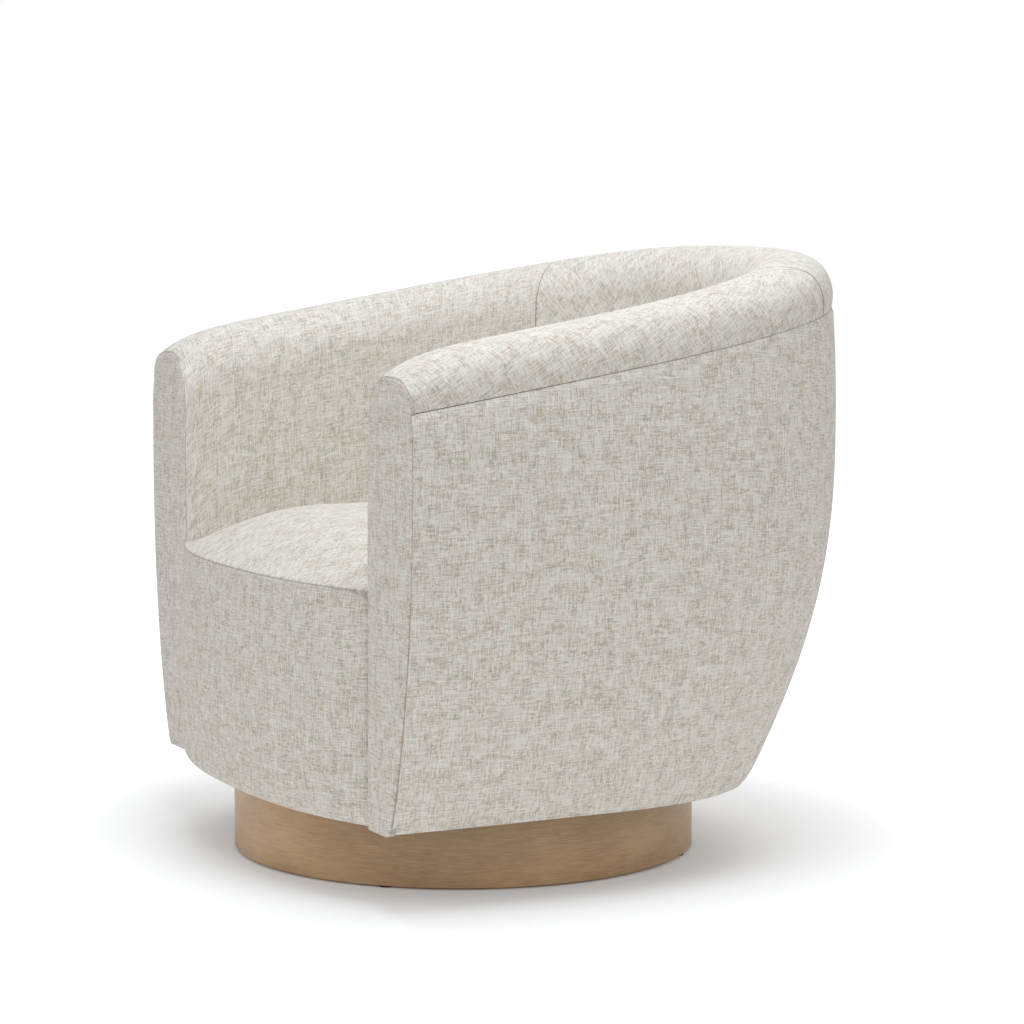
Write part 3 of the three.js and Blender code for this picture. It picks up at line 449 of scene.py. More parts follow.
def inside_covers():
    """The insides of arms and back, each with its share of the roll."""
    turns = (SEAM_TURN, SEAM_TURN, ROLL_TURN, SEAM_TURN)
    arm_turns = (LIP_TURN, *turns[1:])
    arm = WallGrid(ARM_SPAN, (0, SEAM_SKEW), inside_section, INSIDE_Q, arm_turns, LIP_ROWS)
    back = WallGrid(BACK_SPAN, (SEAM_SKEW, -SEAM_SKEW), inside_section, INSIDE_Q, turns)
    points, faces = pad_from(arm, INSIDE_PAD_THICKNESS, lip=True)
    flat = both(arm.weave())
    rim = both(arm.rim((FAINT, STRONG, FAINT, UNSEWN)))
    left = cover_from("inside_arm_cover_left", points, faces, flat, rim)
    rim = both(arm.rim((FAINT, PLAIN, FAINT, UNSEWN)))
    right = cover_from("inside_arm_cover_right", mirrored(points), faces, flat, rim)
    points, faces = pad_from(back, INSIDE_PAD_THICKNESS)
    rim = both(back.rim((STRONG, PLAIN, FAINT, UNSEWN)))
    middle = cover_from("inside_back_cover", points, faces, both(back.weave()), rim)
    return {"inside_arm_pad_left": left, "inside_arm_pad_right": right, "inside_back_pad": middle}


def outside_covers():
    """The outsides of arms and back, from the hem up to the seam under the roll."""
    turns = (SEAM_TURN, SEAM_TURN, HEM_TURN, PANEL_TURN)
    arm_turns = (LIP_TURN, *turns[1:])
    arm = WallGrid(ARM_SPAN, (0, 0), outside_section, OUTSIDE_Q, arm_turns, LIP_ROWS)
    back = WallGrid(BACK_SPAN, (0, 0), outside_section, OUTSIDE_Q, turns)
    points, faces = pad_from(arm, OUTSIDE_PANEL_THICKNESS, lip=True)
    flat = both(arm.weave())
    rim = both(arm.rim((FAINT, PLAIN, UNSEWN, FAINT)))
    left = cover_from("outside_arm_cover_left", points, faces, flat, rim)
    right = cover_from("outside_arm_cover_right", mirrored(points), faces, flat, rim)
    points, faces = pad_from(back, OUTSIDE_PANEL_THICKNESS)
    rim = both(back.rim((PLAIN, PLAIN, UNSEWN, FAINT)))
    middle = cover_from("outside_back_cover", points, faces, both(back.weave()), rim)
    return {
        "outside_arm_panel_left": left,
        "outside_arm_panel_right": right,
        "outside_back_panel": middle,
    }


# Arm fronts: flat panels in the wall's outline, sewn in behind the covers' lips

ARM_FRONT_EDGE = 0.0018
ARM_FRONT_CROWN = 0.0020
ARM_FRONT_REACH = 0.0041
FOOT_CORNER = 0.010
FOOT_CORNER_POINTS = 7
ARCH_DROP = 0.001
ARCH_SAMPLES = 400
ARCH_FOOT_SAMPLES = 60
SIDE_ROWS, ARCH_ROWS, FOOT_ROWS = 90, 48, 32

# Room that a panel leaves for the lips and elsewhere, and where at its foot the one runs into the other
LIP_ROOM = 0.0013
FREE_ROOM = 0.0001
LIP_FOOT = 0.004
LIP_FADE = 0.008

# Height over which a panel's turn beside the border sets in below the seat's seam
BORDER_FADE = 0.02

# Rings of a panel: on its back, its side, its rounded edge and its face, where they crowd towards the spine
BACK_RING_SHARES = (1, 0.5)
SIDE_RINGS, EDGE_RINGS, FACE_RINGS = 4, 6, 14
FACE_RING_POWER = 1.3


def even_line(points, count):
    """Evenly spaced points on a line."""
    steps = np.append(0, np.cumsum(np.linalg.norm(np.diff(points, axis=0), axis=1)))
    goal = np.linspace(0, steps[-1], count)
    return np.stack([np.interp(goal, steps, points[:, k]) for k in range(2)], 1)


def arm_front_outline(depth):
    """Closed outline of the arm behind its front, as offset and height: outer side up, arch, inner side
    down, foot. With it comes its spine, the line that the panel's rings shrink to."""
    place = Place(depth / PLAN_TOTAL)
    bottom = bottom_height(place)
    spring = roll_top(place) - ROLL_INNER_DROP - ARCH_DROP
    outer_z = np.linspace(bottom + HEM_TURN[0], spring, SIDE_ROWS)
    inner_z = np.linspace(bottom + FOOT_CORNER, spring, SIDE_ROWS)
    offset, z = roll_section(place, np.linspace(0, 2, ARCH_SAMPLES))
    low = np.linspace(spring, roll_seam(place), ARCH_FOOT_SAMPLES)[:-1]
    arch = np.stack([np.append(outside_inset(place, low), offset), np.append(low, z)], 1)
    arch = even_line(np.vstack([arch, [inside_offset(place, spring), spring]]), ARCH_ROWS)
    outer = np.stack([outside_inset(place, outer_z), outer_z], 1)
    inner = np.stack([inside_offset(place, inner_z), inner_z], 1)
    turn = np.linspace(0, math.pi / 2, FOOT_CORNER_POINTS)
    corner = np.stack([1 - np.cos(turn), -np.sin(turn)], 1)
    foot_inner = inner[0] + corner * FOOT_CORNER * (-1, 1)
    hem_z = outer_z[0] + corner[:, 1] * HEM_TURN[0]
    foot_outer = np.stack([outside_inset(place, hem_z) + corner[:, 0] * HEM_TURN[1], hem_z], 1)
    foot = even_line(np.vstack([foot_inner, foot_outer[::-1]]), FOOT_ROWS)
    outline = np.vstack([outer, arch[1:-1], inner[::-1], foot[1:-1]])
    middle = (outer + inner) / 2
    spine = np.vstack([
        middle,
        np.broadcast_to(middle[-1], (ARCH_ROWS - 2, 2)),
        middle[::-1],
        np.broadcast_to(middle[0], (FOOT_ROWS - 2, 2)),
    ])
    return outline, spine


def lip_room(outline):
    """Room that the panel leaves for the lips along its sides and arch, and none beside the border."""
    offset, z = outline.T
    inner_side = offset > WALL_THICKNESS / 2
    free = np.where(inner_side, SEAT_DECK, SHELL_BOTTOM) + LIP_FOOT
    share = np.clip((z - free) / LIP_FADE, 0, 1)
    return FREE_ROOM + (LIP_ROOM - FREE_ROOM) * share


def shrunk(outline, distance):
    """A closed outline moved inwards, square to itself. The outline runs with its inside on the right."""
    along = np.roll(outline, -1, 0) - np.roll(outline, 1, 0)
    along /= np.linalg.norm(along, axis=1, keepdims=True)
    return outline + np.stack([along[:, 1], -along[:, 0]], 1) * np.reshape(distance, (-1, 1))


def arm_front_rings():
    """The panel's rings, from the middle of its back to the spine of its face: how far each lies inwards and
    behind the face, and its share of the way to the spine."""
    turns = np.linspace(0, math.pi / 2, EDGE_RINGS)
    sides = np.linspace(ARM_FRONT_THICKNESS, ARM_FRONT_EDGE, SIDE_RINGS)[:-1]
    shares = 1 - (1 - np.linspace(0, 1, FACE_RINGS)[1:]) ** FACE_RING_POWER
    rings = [(0, ARM_FRONT_THICKNESS, share) for share in BACK_RING_SHARES]
    rings += [(0, depth, 0) for depth in sides]
    rings += [(ARM_FRONT_EDGE * (1 - math.cos(t)), ARM_FRONT_EDGE * (1 - math.sin(t)), 0) for t in turns]
    return rings + [(ARM_FRONT_EDGE, 0, share) for share in shares]


def arm_front_ring(inwards, depth, share):
    """Points of one ring of the left panel, their flat cloth coordinates and their distance from the seam."""
    outline, spine = arm_front_outline(depth)
    line = shrunk(outline, lip_room(outline) + inwards)
    far = np.linalg.norm(spine - line, axis=1) * share
    offset, z = (line + (spine - line) * share).T
    x = Place(depth / PLAN_TOTAL).x - offset
    crown = ARM_FRONT_CROWN * (1 - (1 - share) ** 2) if inwards == ARM_FRONT_EDGE else 0
    fall = np.clip((ROLL_SEAM_FRONT - z) / (ROLL_SEAM_FRONT - SHELL_BOTTOM_FRONT), 0, 1)
    y = ARM_FRONT_Y + depth - crown - ARM_FRONT_REACH * fall * (1 - depth / ARM_FRONT_THICKNESS)
    beside_border = np.clip((SEAT_SEAM - z) / BORDER_FADE, 0, 1) * (depth < ARM_FRONT_THICKNESS)
    y = y + beside_border * turned_in(TOP_LEAN + WALL_THICKNESS - offset, BORDER_SIDE_TURN)
    rim = FAINT + far + max(ARM_FRONT_EDGE - depth, 0)
    return np.stack([x, y, z], 1), np.stack([x, z], 1), rim


def arm_fronts():
    """The two panels, closed from ring to ring."""
    rings = [arm_front_ring(*ring) for ring in arm_front_rings()]
    count = len(rings[0][0])
    index = np.arange(len(rings) * count).reshape(len(rings), count)
    after = np.roll(index, -1, 1)
    faces = np.stack([index[:-1], after[:-1], after[1:], index[1:]], 2).reshape(-1, 4)
    points, flat, rim = (np.concatenate(part) for part in zip(*rings))
    left = cover_from("arm_front_cover_left", points, faces, flat, rim)
    right = cover_from("arm_front_cover_right", mirrored(points), faces, flat, rim)
    return {"arm_front_panel_left": left, "arm_front_panel_right": right}


# Seat and border

# Lines of the inside face that the seat's rear follows: how many, points on each, where they start, how far
# they run on past the seam, and how far below the last one a place stays
REAR_HEIGHTS = 12
REAR_SAMPLES = 200
BACK_MIDDLE_SHARE = 0.5
REAR_REACH_SHARE = 0.06
BELOW_LAST = 0.001


def seat_front(share):
    """Place of the seat's bowed front edge at a share of its half width."""
    return SEAT_FRONT_Y - SEAT_BOW * (1 - np.minimum(np.abs(share), 1) ** SEAT_BOW_POWER)


FRONT = Place(0.0)
SEAT_FRONT_HALF = float(FRONT.x - inside_offset(FRONT, SEAT_SEAM) - SEAT_GAP)
SEAT_HALF = SHELL_HALF_WIDTH - TOP_LEAN - WALL_THICKNESS - SEAT_GAP


def seat_half_width(y):
    """Half the seat's width at a place along it: the arms toe in towards their fronts."""
    t = np.clip((y - ARM_FRONT_Y) / (SHELL_TURN_Y - ARM_FRONT_Y), 0, 1)
    return SEAT_FRONT_HALF + (SEAT_HALF - SEAT_FRONT_HALF) * (1 - (1 - t) ** 2)


def rear_lines():
    """Lines of the inside face at a row of heights, from the middle of the back to the left side."""
    heights = np.linspace(SEAT_DECK, SEAT_SEAM + SEAT_CROWN, REAR_HEIGHTS)
    shares = np.linspace(BACK_MIDDLE_SHARE, SEAM_INNER_SHARE - REAR_REACH_SHARE, REAR_SAMPLES)
    place = Place(shares)
    lines = []
    for z in heights:
        offset = inside_offset(place, z) + PANEL_GAP
        lines.append((place.x - place.nx * offset, place.y - place.ny * offset))
    return heights, lines


def seat_rear(x, z):
    """How far back the seat reaches at a place across and a height."""
    heights, lines = REAR_LINES
    at_heights = np.stack([np.interp(np.abs(x), line_x, line_y) for line_x, line_y in lines])
    place = np.clip((z - heights[0]) / (heights[1] - heights[0]), 0, len(heights) - 1 - BELOW_LAST)
    low = place.astype(int)
    rows = np.arange(x.size)
    flat = at_heights.reshape(len(heights), -1)
    below, above = flat[low.ravel(), rows], flat[low.ravel() + 1, rows]
    part = (place - low).ravel()
    return (below + (above - below) * part).reshape(x.shape)


REAR_LINES = rear_lines()


def seat():
    """The crowned seat with its cover, from the border's seam back to the inside of the back."""
    edge, front = SEAT_EDGE_TURN, SEAT_FRONT_TURN
    depth = SEAT_CLOTH_DEPTH
    across = spaced(2 * SEAT_HALF, CLOTH_SPACING, edge[0], edge[0], steps=5) / SEAT_HALF - 1
    along = spaced(depth, CLOTH_SPACING, front[0], edge[0], steps=5) / depth
    a, b = np.meshgrid(across, along, indexing="ij")
    rise = 1 - (1 - np.minimum(b / SEAT_RISE_SHARE, 1)) ** 2
    z = SEAT_SEAM + SEAT_CROWN * (1 - np.abs(a) ** SEAT_CROWN_POWER) * rise

    def plan_point(z, from_front, from_rim):
        reach = np.abs(a) * SEAT_HALF
        start = seat_front(a) + from_front
        y = start + (seat_rear(reach, z) - from_rim - start) * b
        return np.stack([a * (np.minimum(seat_half_width(y), SEAT_HALF) - from_rim), y, z], 2)

    points = plan_point(z, 0, SEAT_GAP)
    side_far = (1 - np.abs(a)) * SEAT_HALF
    drop = np.hypot(turned_in(side_far, edge), turned_in((1 - b) * depth, edge))
    drop = np.minimum(np.hypot(drop, turned_in(b * depth, front)), edge[1])
    outer = points - grid_normals(points) * drop[:, :, None]
    inner = plan_point(np.full(a.shape, SEAT_DECK), BORDER_THICKNESS + SEAT_GAP, SEAT_BASE_ROOM)
    closed, faces = closed_grid(outer, inner)
    flat = both(np.stack([a * SEAT_HALF, points[:, :, 1]], 2))
    rim = both(np.minimum(b * depth, side_far) + FAINT)
    return {"seat_cushion": cover_from("seat_cover", closed, faces, flat, rim)}


def border():
    """The deep panel under the seat's front seam, bowed and a little fuller halfway up."""
    height = SEAT_SEAM - BORDER_TOP_DROP - SHELL_BOTTOM_FRONT
    side_reach = BORDER_SIDE_TURN[0]
    across = spaced(2 * SEAT_FRONT_HALF, CLOTH_SPACING, side_reach, side_reach) / SEAT_FRONT_HALF - 1
    up = spaced(height, CLOTH_SPACING, BORDER_HEM_TURN[0], BORDER_TOP_TURN[0], steps=6)
    a, h = np.meshgrid(across, up, indexing="ij")
    rise = h / height
    side = np.abs(a) ** BORDER_EDGE_POWER
    side_far = (1 - np.abs(a)) * SEAT_FRONT_HALF
    forward = BORDER_BULGE * np.sin(math.pi * rise) * (1 - side) + BORDER_FLARE * (1 - rise)
    y = seat_front(a) - forward + BORDER_EDGE_ROUND * side
    points = np.stack([a * SEAT_FRONT_HALF, y, SHELL_BOTTOM_FRONT + h], 2)
    drop = np.maximum(turned_in(h, BORDER_HEM_TURN), turned_in(height - h, BORDER_TOP_TURN))
    drop = np.minimum(np.hypot(drop, turned_in(side_far, BORDER_SIDE_TURN)), BORDER_HEM_TURN[1])
    outer = points - grid_normals(points) * drop[:, :, None]
    inner = np.stack([a * SEAT_FRONT_HALF, seat_front(a) + BORDER_THICKNESS, SHELL_BOTTOM_FRONT + h], 2)
    closed, faces = closed_grid(outer, inner)
    flat = both(np.stack([a * SEAT_FRONT_HALF, h], 2))
    rim = both(np.minimum(height - h, side_far) + FAINT)
    return {"front_border": cover_from("border_cover", closed, faces, flat, rim)}


# Plinth drum, hollow, with eased edges

PLINTH_WALL = 0.018
PLINTH_SIDES = 192
PLINTH_EASE = 0.0022
PLINTH_EASE_STEPS = 4

# Least angle of a rim in radians, least upright part of an end's normal, and widest angle shaded smooth
RIM_ANGLE = 1.0
END_UPRIGHT_SHARE = 0.9
SMOOTH_DEGREES = 35


def pick_edges(piece, wanted):
    """Selects these edges, and no others, in edit mode."""
    bpy.ops.mesh.select_mode(type="EDGE")
    bpy.ops.mesh.select_all(action="DESELECT")
    for edge in filter(wanted, bmesh.from_edit_mesh(piece.data).edges):
        edge.select_set(True)
    bmesh.update_edit_mesh(piece.data)


def on_a_rim(edge):
    """Whether an edge is one of the drum's four sharp rims."""
    level = abs(edge.verts[0].co.z - edge.verts[1].co.z) < LEVEL
    return level and len(edge.link_faces) == 2 and edge.calc_face_angle() > RIM_ANGLE


def plinth_drum():
    """The drum's bent wall: a cylinder with its ends taken out, an inner wall and four eased rims."""
    low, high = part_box("plinth_wall")
    no_selection()
    bpy.ops.mesh.primitive_cylinder_add(
        vertices=PLINTH_SIDES, radius=(high.x - low.x) / 2, depth=high.z - low.z,
        location=(0, AXIS_Y, (high.z + low.z) / 2),
    )
    drum = bpy.context.object
    drum.name = "plinth_drum"
    bpy.ops.object.mode_set(mode="EDIT")
    bpy.ops.mesh.select_mode(type="FACE")
    bpy.ops.mesh.select_all(action="DESELECT")
    for face in bmesh.from_edit_mesh(drum.data).faces:
        face.select_set(abs(face.normal.z) > END_UPRIGHT_SHARE)
    bmesh.update_edit_mesh(drum.data)
    bpy.ops.mesh.inset(thickness=PLINTH_WALL, use_boundary=True)
    bpy.ops.mesh.delete(type="FACE")
    pick_edges(drum, lambda edge: edge.is_boundary)
    bpy.ops.mesh.bridge_edge_loops()
    pick_edges(drum, on_a_rim)
    bpy.ops.mesh.bevel(offset=PLINTH_EASE, segments=PLINTH_EASE_STEPS, profile=0.5, affect="EDGES")
    bpy.ops.mesh.select_all(action="SELECT")
    bpy.ops.mesh.normals_make_consistent(inside=False)
    bpy.ops.object.mode_set(mode="OBJECT")
    bpy.ops.object.transform_apply(location=True, rotation=True, scale=True)
    bpy.ops.object.shade_smooth_by_angle(angle=math.radians(SMOOTH_DEGREES))
    no_selection()
    return drum


# Dust cover: black cloth stapled taut under the frame, sagging a little between the boards

# How deep it sags, over what length that grows, how wide a rim the staples hold, and the bays of its mesh
COVER_SAG = 0.0022
COVER_SAG_LENGTH = 0.05
COVER_HELD = 0.02
COVER_BAY = 0.02


def dust_sheet():
    """The cut of the dust cover's solid as a sheet of cloth, and its flat area."""
    low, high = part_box("dust_cover")
    mesh = frame["nodes"]["dust_cover"].data.copy()
    mesh.name = "dust_sheet"
    work = bmesh.new()
    work.from_mesh(mesh)
    bmesh.ops.remove_doubles(work, verts=work.verts, dist=SAME_PLACE)
    above = [face for face in work.faces if face.calc_center_median().z > low.z + LEVEL]
    bmesh.ops.delete(work, geom=above, context="FACES")
    area = sum(face.calc_area() for face in work.faces)
    for axis, (start, end) in enumerate(((low.x, high.x), (low.y, high.y))):
        for place in np.arange(start + COVER_BAY, end, COVER_BAY):
            point, normal = [0, 0, low.z], [0, 0, 0]
            point[axis], normal[axis] = place, 1
            everything = list(work.verts) + list(work.edges) + list(work.faces)
            bmesh.ops.bisect_plane(work, geom=everything, plane_co=point, plane_no=normal)
    edges = [edge for edge in work.edges if edge.is_boundary]
    rim = np.array([tuple(vert.co)[:2] for edge in edges for vert in edge.verts])
    for vert in work.verts:
        far = np.min(np.hypot(rim[:, 0] - vert.co.x, rim[:, 1] - vert.co.y))
        vert.co.z = high.z - COVER_SAG * (1 - math.exp(-far / COVER_SAG_LENGTH)) * min(far / COVER_HELD, 1)
    work.to_mesh(mesh)
    work.free()
    mesh.materials.clear()
    mesh.shade_smooth()
    sheet = bpy.data.objects.new("dust_sheet", mesh)
    bpy.context.scene.collection.objects.link(sheet)
    return sheet, area


# Materials: a small sheet of nodes, and numbers on it that add up as in a formula

class Signal:
    """A number that varies over a surface. Sums and products of it add Math nodes."""

    def __init__(self, finish, socket):
        self.finish, self.socket = finish, socket

    def math(self, operation, first, second):
        return self.finish.node("ShaderNodeMath", {"operation": operation}, {0: first, 1: second})

    def __add__(self, other):
        return self.math("ADD", self, other)

    def __radd__(self, other):
        return self.math("ADD", other, self)

    def __mul__(self, other):
        return self.math("MULTIPLY", self, other)

    def __rmul__(self, other):
        return self.math("MULTIPLY", other, self)


class Finish:
    """A procedural material, or another tree of nodes such as the world's."""

    def __init__(self, name, tree=None):
        if tree is None:
            self.material = bpy.data.materials.new(name)
            self.material.use_nodes = True
            tree = self.material.node_tree
        self.tree = tree
        self.tree.nodes.clear()

    def node(self, kind, settings, inputs, output=0):
        """A node of a kind, with its settings and the values or signals of its sockets."""
        made = self.tree.nodes.new(kind)
        for key, value in settings.items():
            setattr(made, key, value)
        for key, value in inputs.items():
            if isinstance(value, Signal):
                self.tree.links.new(value.socket, made.inputs[key])
            else:
                made.inputs[key].default_value = value
        return Signal(self, made.outputs[output])

    def stretch(self, vector, scale, shift=(0, 0, 0)):
        """A place on the pattern, scaled and then shifted."""
        settings = {"operation": "MULTIPLY_ADD"}
        return self.node("ShaderNodeVectorMath", settings, {0: vector, 1: scale, 2: shift})

    def noise(self, vector, detail, flat=True):
        """Soft noise of one unit's size, on the cloth or through the piece."""
        settings = {"noise_dimensions": "2D" if flat else "3D"}
        inputs = {"Vector": vector, "Scale": 1.0, "Detail": detail, "Roughness": 0.5}
        return self.node("ShaderNodeTexNoise", settings, inputs)

    def band(self, signal, low, high, to_low=0.0, to_high=1.0):
        """The signal between two values, spread over another range and held at its ends."""
        inputs = {"Value": signal, 1: low, 2: high, 3: to_low, 4: to_high}
        return self.node("ShaderNodeMapRange", {"interpolation_type": "SMOOTHSTEP"}, inputs)

    def mix(self, factor, first, second):
        """A colour between two."""
        inputs = {0: factor, 6: first, 7: second}
        return self.node("ShaderNodeMix", {"data_type": "RGBA"}, inputs, 2)

    def bump(self, height, distance, strength):
        inputs = {"Height": height, "Distance": distance, "Strength": strength}
        return self.node("ShaderNodeBump", {}, inputs)

    def object_place(self):
        """Object coordinates, in metres."""
        return self.node("ShaderNodeTexCoord", {}, {}, "Object")

    def surface(self, **sockets):
        """The finished material, from the sockets of its surface."""
        inputs = {key.replace("_", " "): value for key, value in sockets.items()}
        self.close(self.node("ShaderNodeBsdfPrincipled", {}, inputs))
        return self.material

    def close(self, shader, kind="ShaderNodeOutputMaterial"):
        """Leads the finished shader to the output."""
        made = self.tree.nodes.new(kind)
        self.tree.links.new(shader.socket, made.inputs["Surface"])


# Colours of the linen's threads, and of the painted shade in a seam
IVORY_LOW = (0.610, 0.589, 0.538, 1)
IVORY_HIGH = (0.862, 0.847, 0.801, 1)
OLIVE_THREAD = (0.395, 0.362, 0.292, 1)
TAN_FLECK = (0.515, 0.378, 0.262, 1)
WHITE_THREAD = (0.905, 0.898, 0.872, 1)
PAINTED_SEAM_SHADE = (0.130, 0.120, 0.100, 1)

# Size of the linen's blotches, the fine steps along a thread, and how far the pattern jumps between threads
BLOTCH_SIZE = 0.020
HAIR = 1e-5
THREAD_JUMP = 13.37

# Painted shade in a seam: full up to the first distance from it, gone at the second
PAINTED_SHADE_FULL, PAINTED_SHADE_GONE = 0.0006, 0.0024
PAINTED_SHADE_STRENGTH = 0.78

# Deep and pale colours of the other finishes
STAIN_DEEP, STAIN_PALE = (0.390, 0.240, 0.122, 1), (0.600, 0.400, 0.222, 1)
TIMBER_DEEP, TIMBER_PALE = (0.46, 0.31, 0.16, 1), (0.66, 0.48, 0.28, 1)
ZINC_DULL, ZINC_BRIGHT = (0.42, 0.43, 0.45, 1), (0.60, 0.61, 0.63, 1)
PLASTIC_DEEP, PLASTIC_PALE = (0.018, 0.017, 0.016, 1), (0.034, 0.032, 0.030, 1)
CAMBRIC_DEEP, CAMBRIC_PALE = (0.012, 0.012, 0.013, 1), (0.035, 0.035, 0.037, 1)


def linen():
    """Heathered linen: crossed slubby threads in ivory, with olive, tan and whiter threads, and painted shade
    darkening the seams."""
    f = Finish("heathered_linen")
    cloth = f.node("ShaderNodeUVMap", {"uv_map": "weave"}, {})
    rim = f.node("ShaderNodeAttribute", {"attribute_name": "rim"}, {}, 2)

    def threads(pitch, slub, shift):
        """Two crossed sets of straight threads of a pitch, with slubs of a length, each thread its own."""
        moved = f.stretch(cloth, (1, 1, 0), (shift, 2 * shift, 0))
        snapped = {"operation": "SNAP"}
        weft = f.node("ShaderNodeVectorMath", snapped, {0: moved, 1: (HAIR, pitch, 1)})
        warp = f.node("ShaderNodeVectorMath", snapped, {0: moved, 1: (pitch, HAIR, 1)})
        jump = THREAD_JUMP / pitch
        weft = f.noise(f.stretch(weft, (1 / slub, jump, 0)), detail=1.0)
        return weft, f.noise(f.stretch(warp, (jump, 1 / slub, 0)), detail=1.0)

    weft, warp = threads(pitch=0.0008, slub=0.012, shift=3.7)
    long_weft, long_warp = threads(pitch=0.0011, slub=0.040, shift=7.1)
    olive_weft, olive_warp = threads(pitch=0.0010, slub=0.017, shift=11.3)
    white_weft, white_warp = threads(pitch=0.0010, slub=0.024, shift=23.9)
    fleck_weft, fleck_warp = threads(pitch=0.0011, slub=0.0055, shift=31.7)
    blotch = f.noise(f.stretch(cloth, (1 / BLOTCH_SIZE, 1 / BLOTCH_SIZE, 0), (1.7, 9.2, 0)), detail=2.0)

    crossed = 0.3 * weft + 0.3 * warp + 0.2 * long_weft + 0.2 * long_warp + 0.06 * blotch
    body = f.mix(f.band(crossed, 0.37, 0.68), IVORY_LOW, IVORY_HIGH)
    olive = f.band(olive_weft, 0.54, 0.68) + f.band(olive_warp, 0.54, 0.68)
    olive = olive * f.band(blotch, 0.32, 0.64, 1.0, 0.60)
    body = f.mix(f.band(olive, 0.0, 1.4, 0.0, 0.72), body, OLIVE_THREAD)
    tan = f.band(fleck_weft, 0.57, 0.73) + f.band(fleck_warp, 0.57, 0.73)
    tan = tan * f.band(blotch, 0.36, 0.64, 1.0, 0.35)
    body = f.mix(f.band(tan, 0.0, 1.0, 0.0, 0.68), body, TAN_FLECK)
    white = f.band(white_weft, 0.55, 0.71) + f.band(white_warp, 0.55, 0.71)
    body = f.mix(f.band(white, 0.0, 1.2, 0.0, 0.55), body, WHITE_THREAD)
    # Painted shade: the threads darken towards each seam, as if shade fell into it
    body = f.mix(f.band(rim, PAINTED_SHADE_FULL, PAINTED_SHADE_GONE, PAINTED_SHADE_STRENGTH, 0.0), body, PAINTED_SEAM_SHADE)
    relief = 0.5 * weft + 0.5 * warp + 0.4 * white
    return f.surface(
        Base_Color=body, Roughness=0.92, Specular_IOR_Level=0.25,
        Normal=f.bump(relief, distance=0.0006, strength=0.5),
    )


def stained_wood():
    """Taupe brown stain over fine grain that runs round the drum."""
    f = Finish("stained_plinth_wood")
    place = f.object_place()
    grain = f.noise(f.stretch(place, (34, 34, 760)), detail=3.0, flat=False)
    pores = f.noise(f.stretch(place, (110, 110, 1700)), detail=2.0, flat=False)
    cloud = f.noise(f.stretch(place, (9, 9, 22)), detail=3.0, flat=False)
    tone = 0.40 * grain + 0.30 * pores + 0.45 * cloud
    colour = f.mix(f.band(tone, 0.40, 0.76), STAIN_DEEP, STAIN_PALE)
    return f.surface(
        Base_Color=colour, Roughness=f.band(grain, 0.3, 0.7, 0.42, 0.52),
        Normal=f.bump(grain + 0.5 * pores, distance=0.0003, strength=0.5), Coat_Weight=0.12,
    )


def frame_timber():
    """Sawn pale timber."""
    f = Finish("sawn_timber")
    rings = f.noise(f.stretch(f.object_place(), (9, 9, 70)), detail=4.0, flat=False)
    colour = f.mix(f.band(rings, 0.35, 0.65), TIMBER_DEEP, TIMBER_PALE)
    return f.surface(Base_Color=colour, Roughness=0.75, Normal=f.bump(rings, distance=0.0006, strength=0.5))


def zinc_steel():
    """Zinc-coated pressed steel."""
    f = Finish("zinc_steel")
    grains = f.noise(f.stretch(f.object_place(), (240, 240, 240)), detail=3.0, flat=False)
    colour = f.mix(f.band(grains, 0.35, 0.65), ZINC_DULL, ZINC_BRIGHT)
    return f.surface(
        Base_Color=colour, Metallic=0.9, Roughness=f.band(grains, 0.3, 0.7, 0.32, 0.5),
        Normal=f.bump(grains, distance=0.0001, strength=0.3),
    )


def glide_plastic():
    """Dark moulded plastic with a fine grain."""
    f = Finish("dark_plastic")
    grains = f.noise(f.stretch(f.object_place(), (900, 900, 900)), detail=1.0, flat=False)
    colour = f.mix(grains, PLASTIC_DEEP, PLASTIC_PALE)
    return f.surface(Base_Color=colour, Roughness=0.6, Normal=f.bump(grains, distance=0.0001, strength=0.4))


def cambric():
    """Black spun cloth under the frame."""
    f = Finish("black_cambric")
    fibres = f.noise(f.stretch(f.object_place(), (420, 420, 420)), detail=3.0, flat=False)
    colour = f.mix(f.band(fibres, 0.35, 0.65), CAMBRIC_DEEP, CAMBRIC_PALE)
    return f.surface(Base_Color=colour, Roughness=0.95, Normal=f.bump(fibres, distance=0.0003, strength=0.6))


# Studio: camera, floor, lamps

# The camera's place is about the swivel axis, its angles are degrees
CAMERA_PLACE = (3.33346, -1.61599, 0.76573)
CAMERA_YAW = 63.2168
CAMERA_PITCH = 5.5609
CAMERA_LENS = 107.7248
SENSOR_WIDTH = 36
CAMERA_RANGE = 60

FLOOR_SIZE = 16
FLOOR_SHEET = (0.90, 0.89, 0.87, 1)
FLOOR_LIGHT = (1.0, 0.985, 0.96, 1)
FLOOR_LIGHT_STRENGTH = 0.18
SHADOW_PAPER = (0.59, 0.60, 0.615, 1)
DOME_LIGHT = (1.0, 0.996, 0.990, 1)
DOME_STRENGTH = 0.515
BLACK, WHITE = (0, 0, 0, 1), (1, 1, 1, 1)

SOFTBOX_PLACE = (0.45, -0.22, 2.4)
SOFTBOX_AIM = (0, 0, 0.4)
SOFTBOX_SIZE = 1.2
SOFTBOX_WATTS = 27
SOFTBOX_COLOUR = (0.95, 0.98, 1.0)


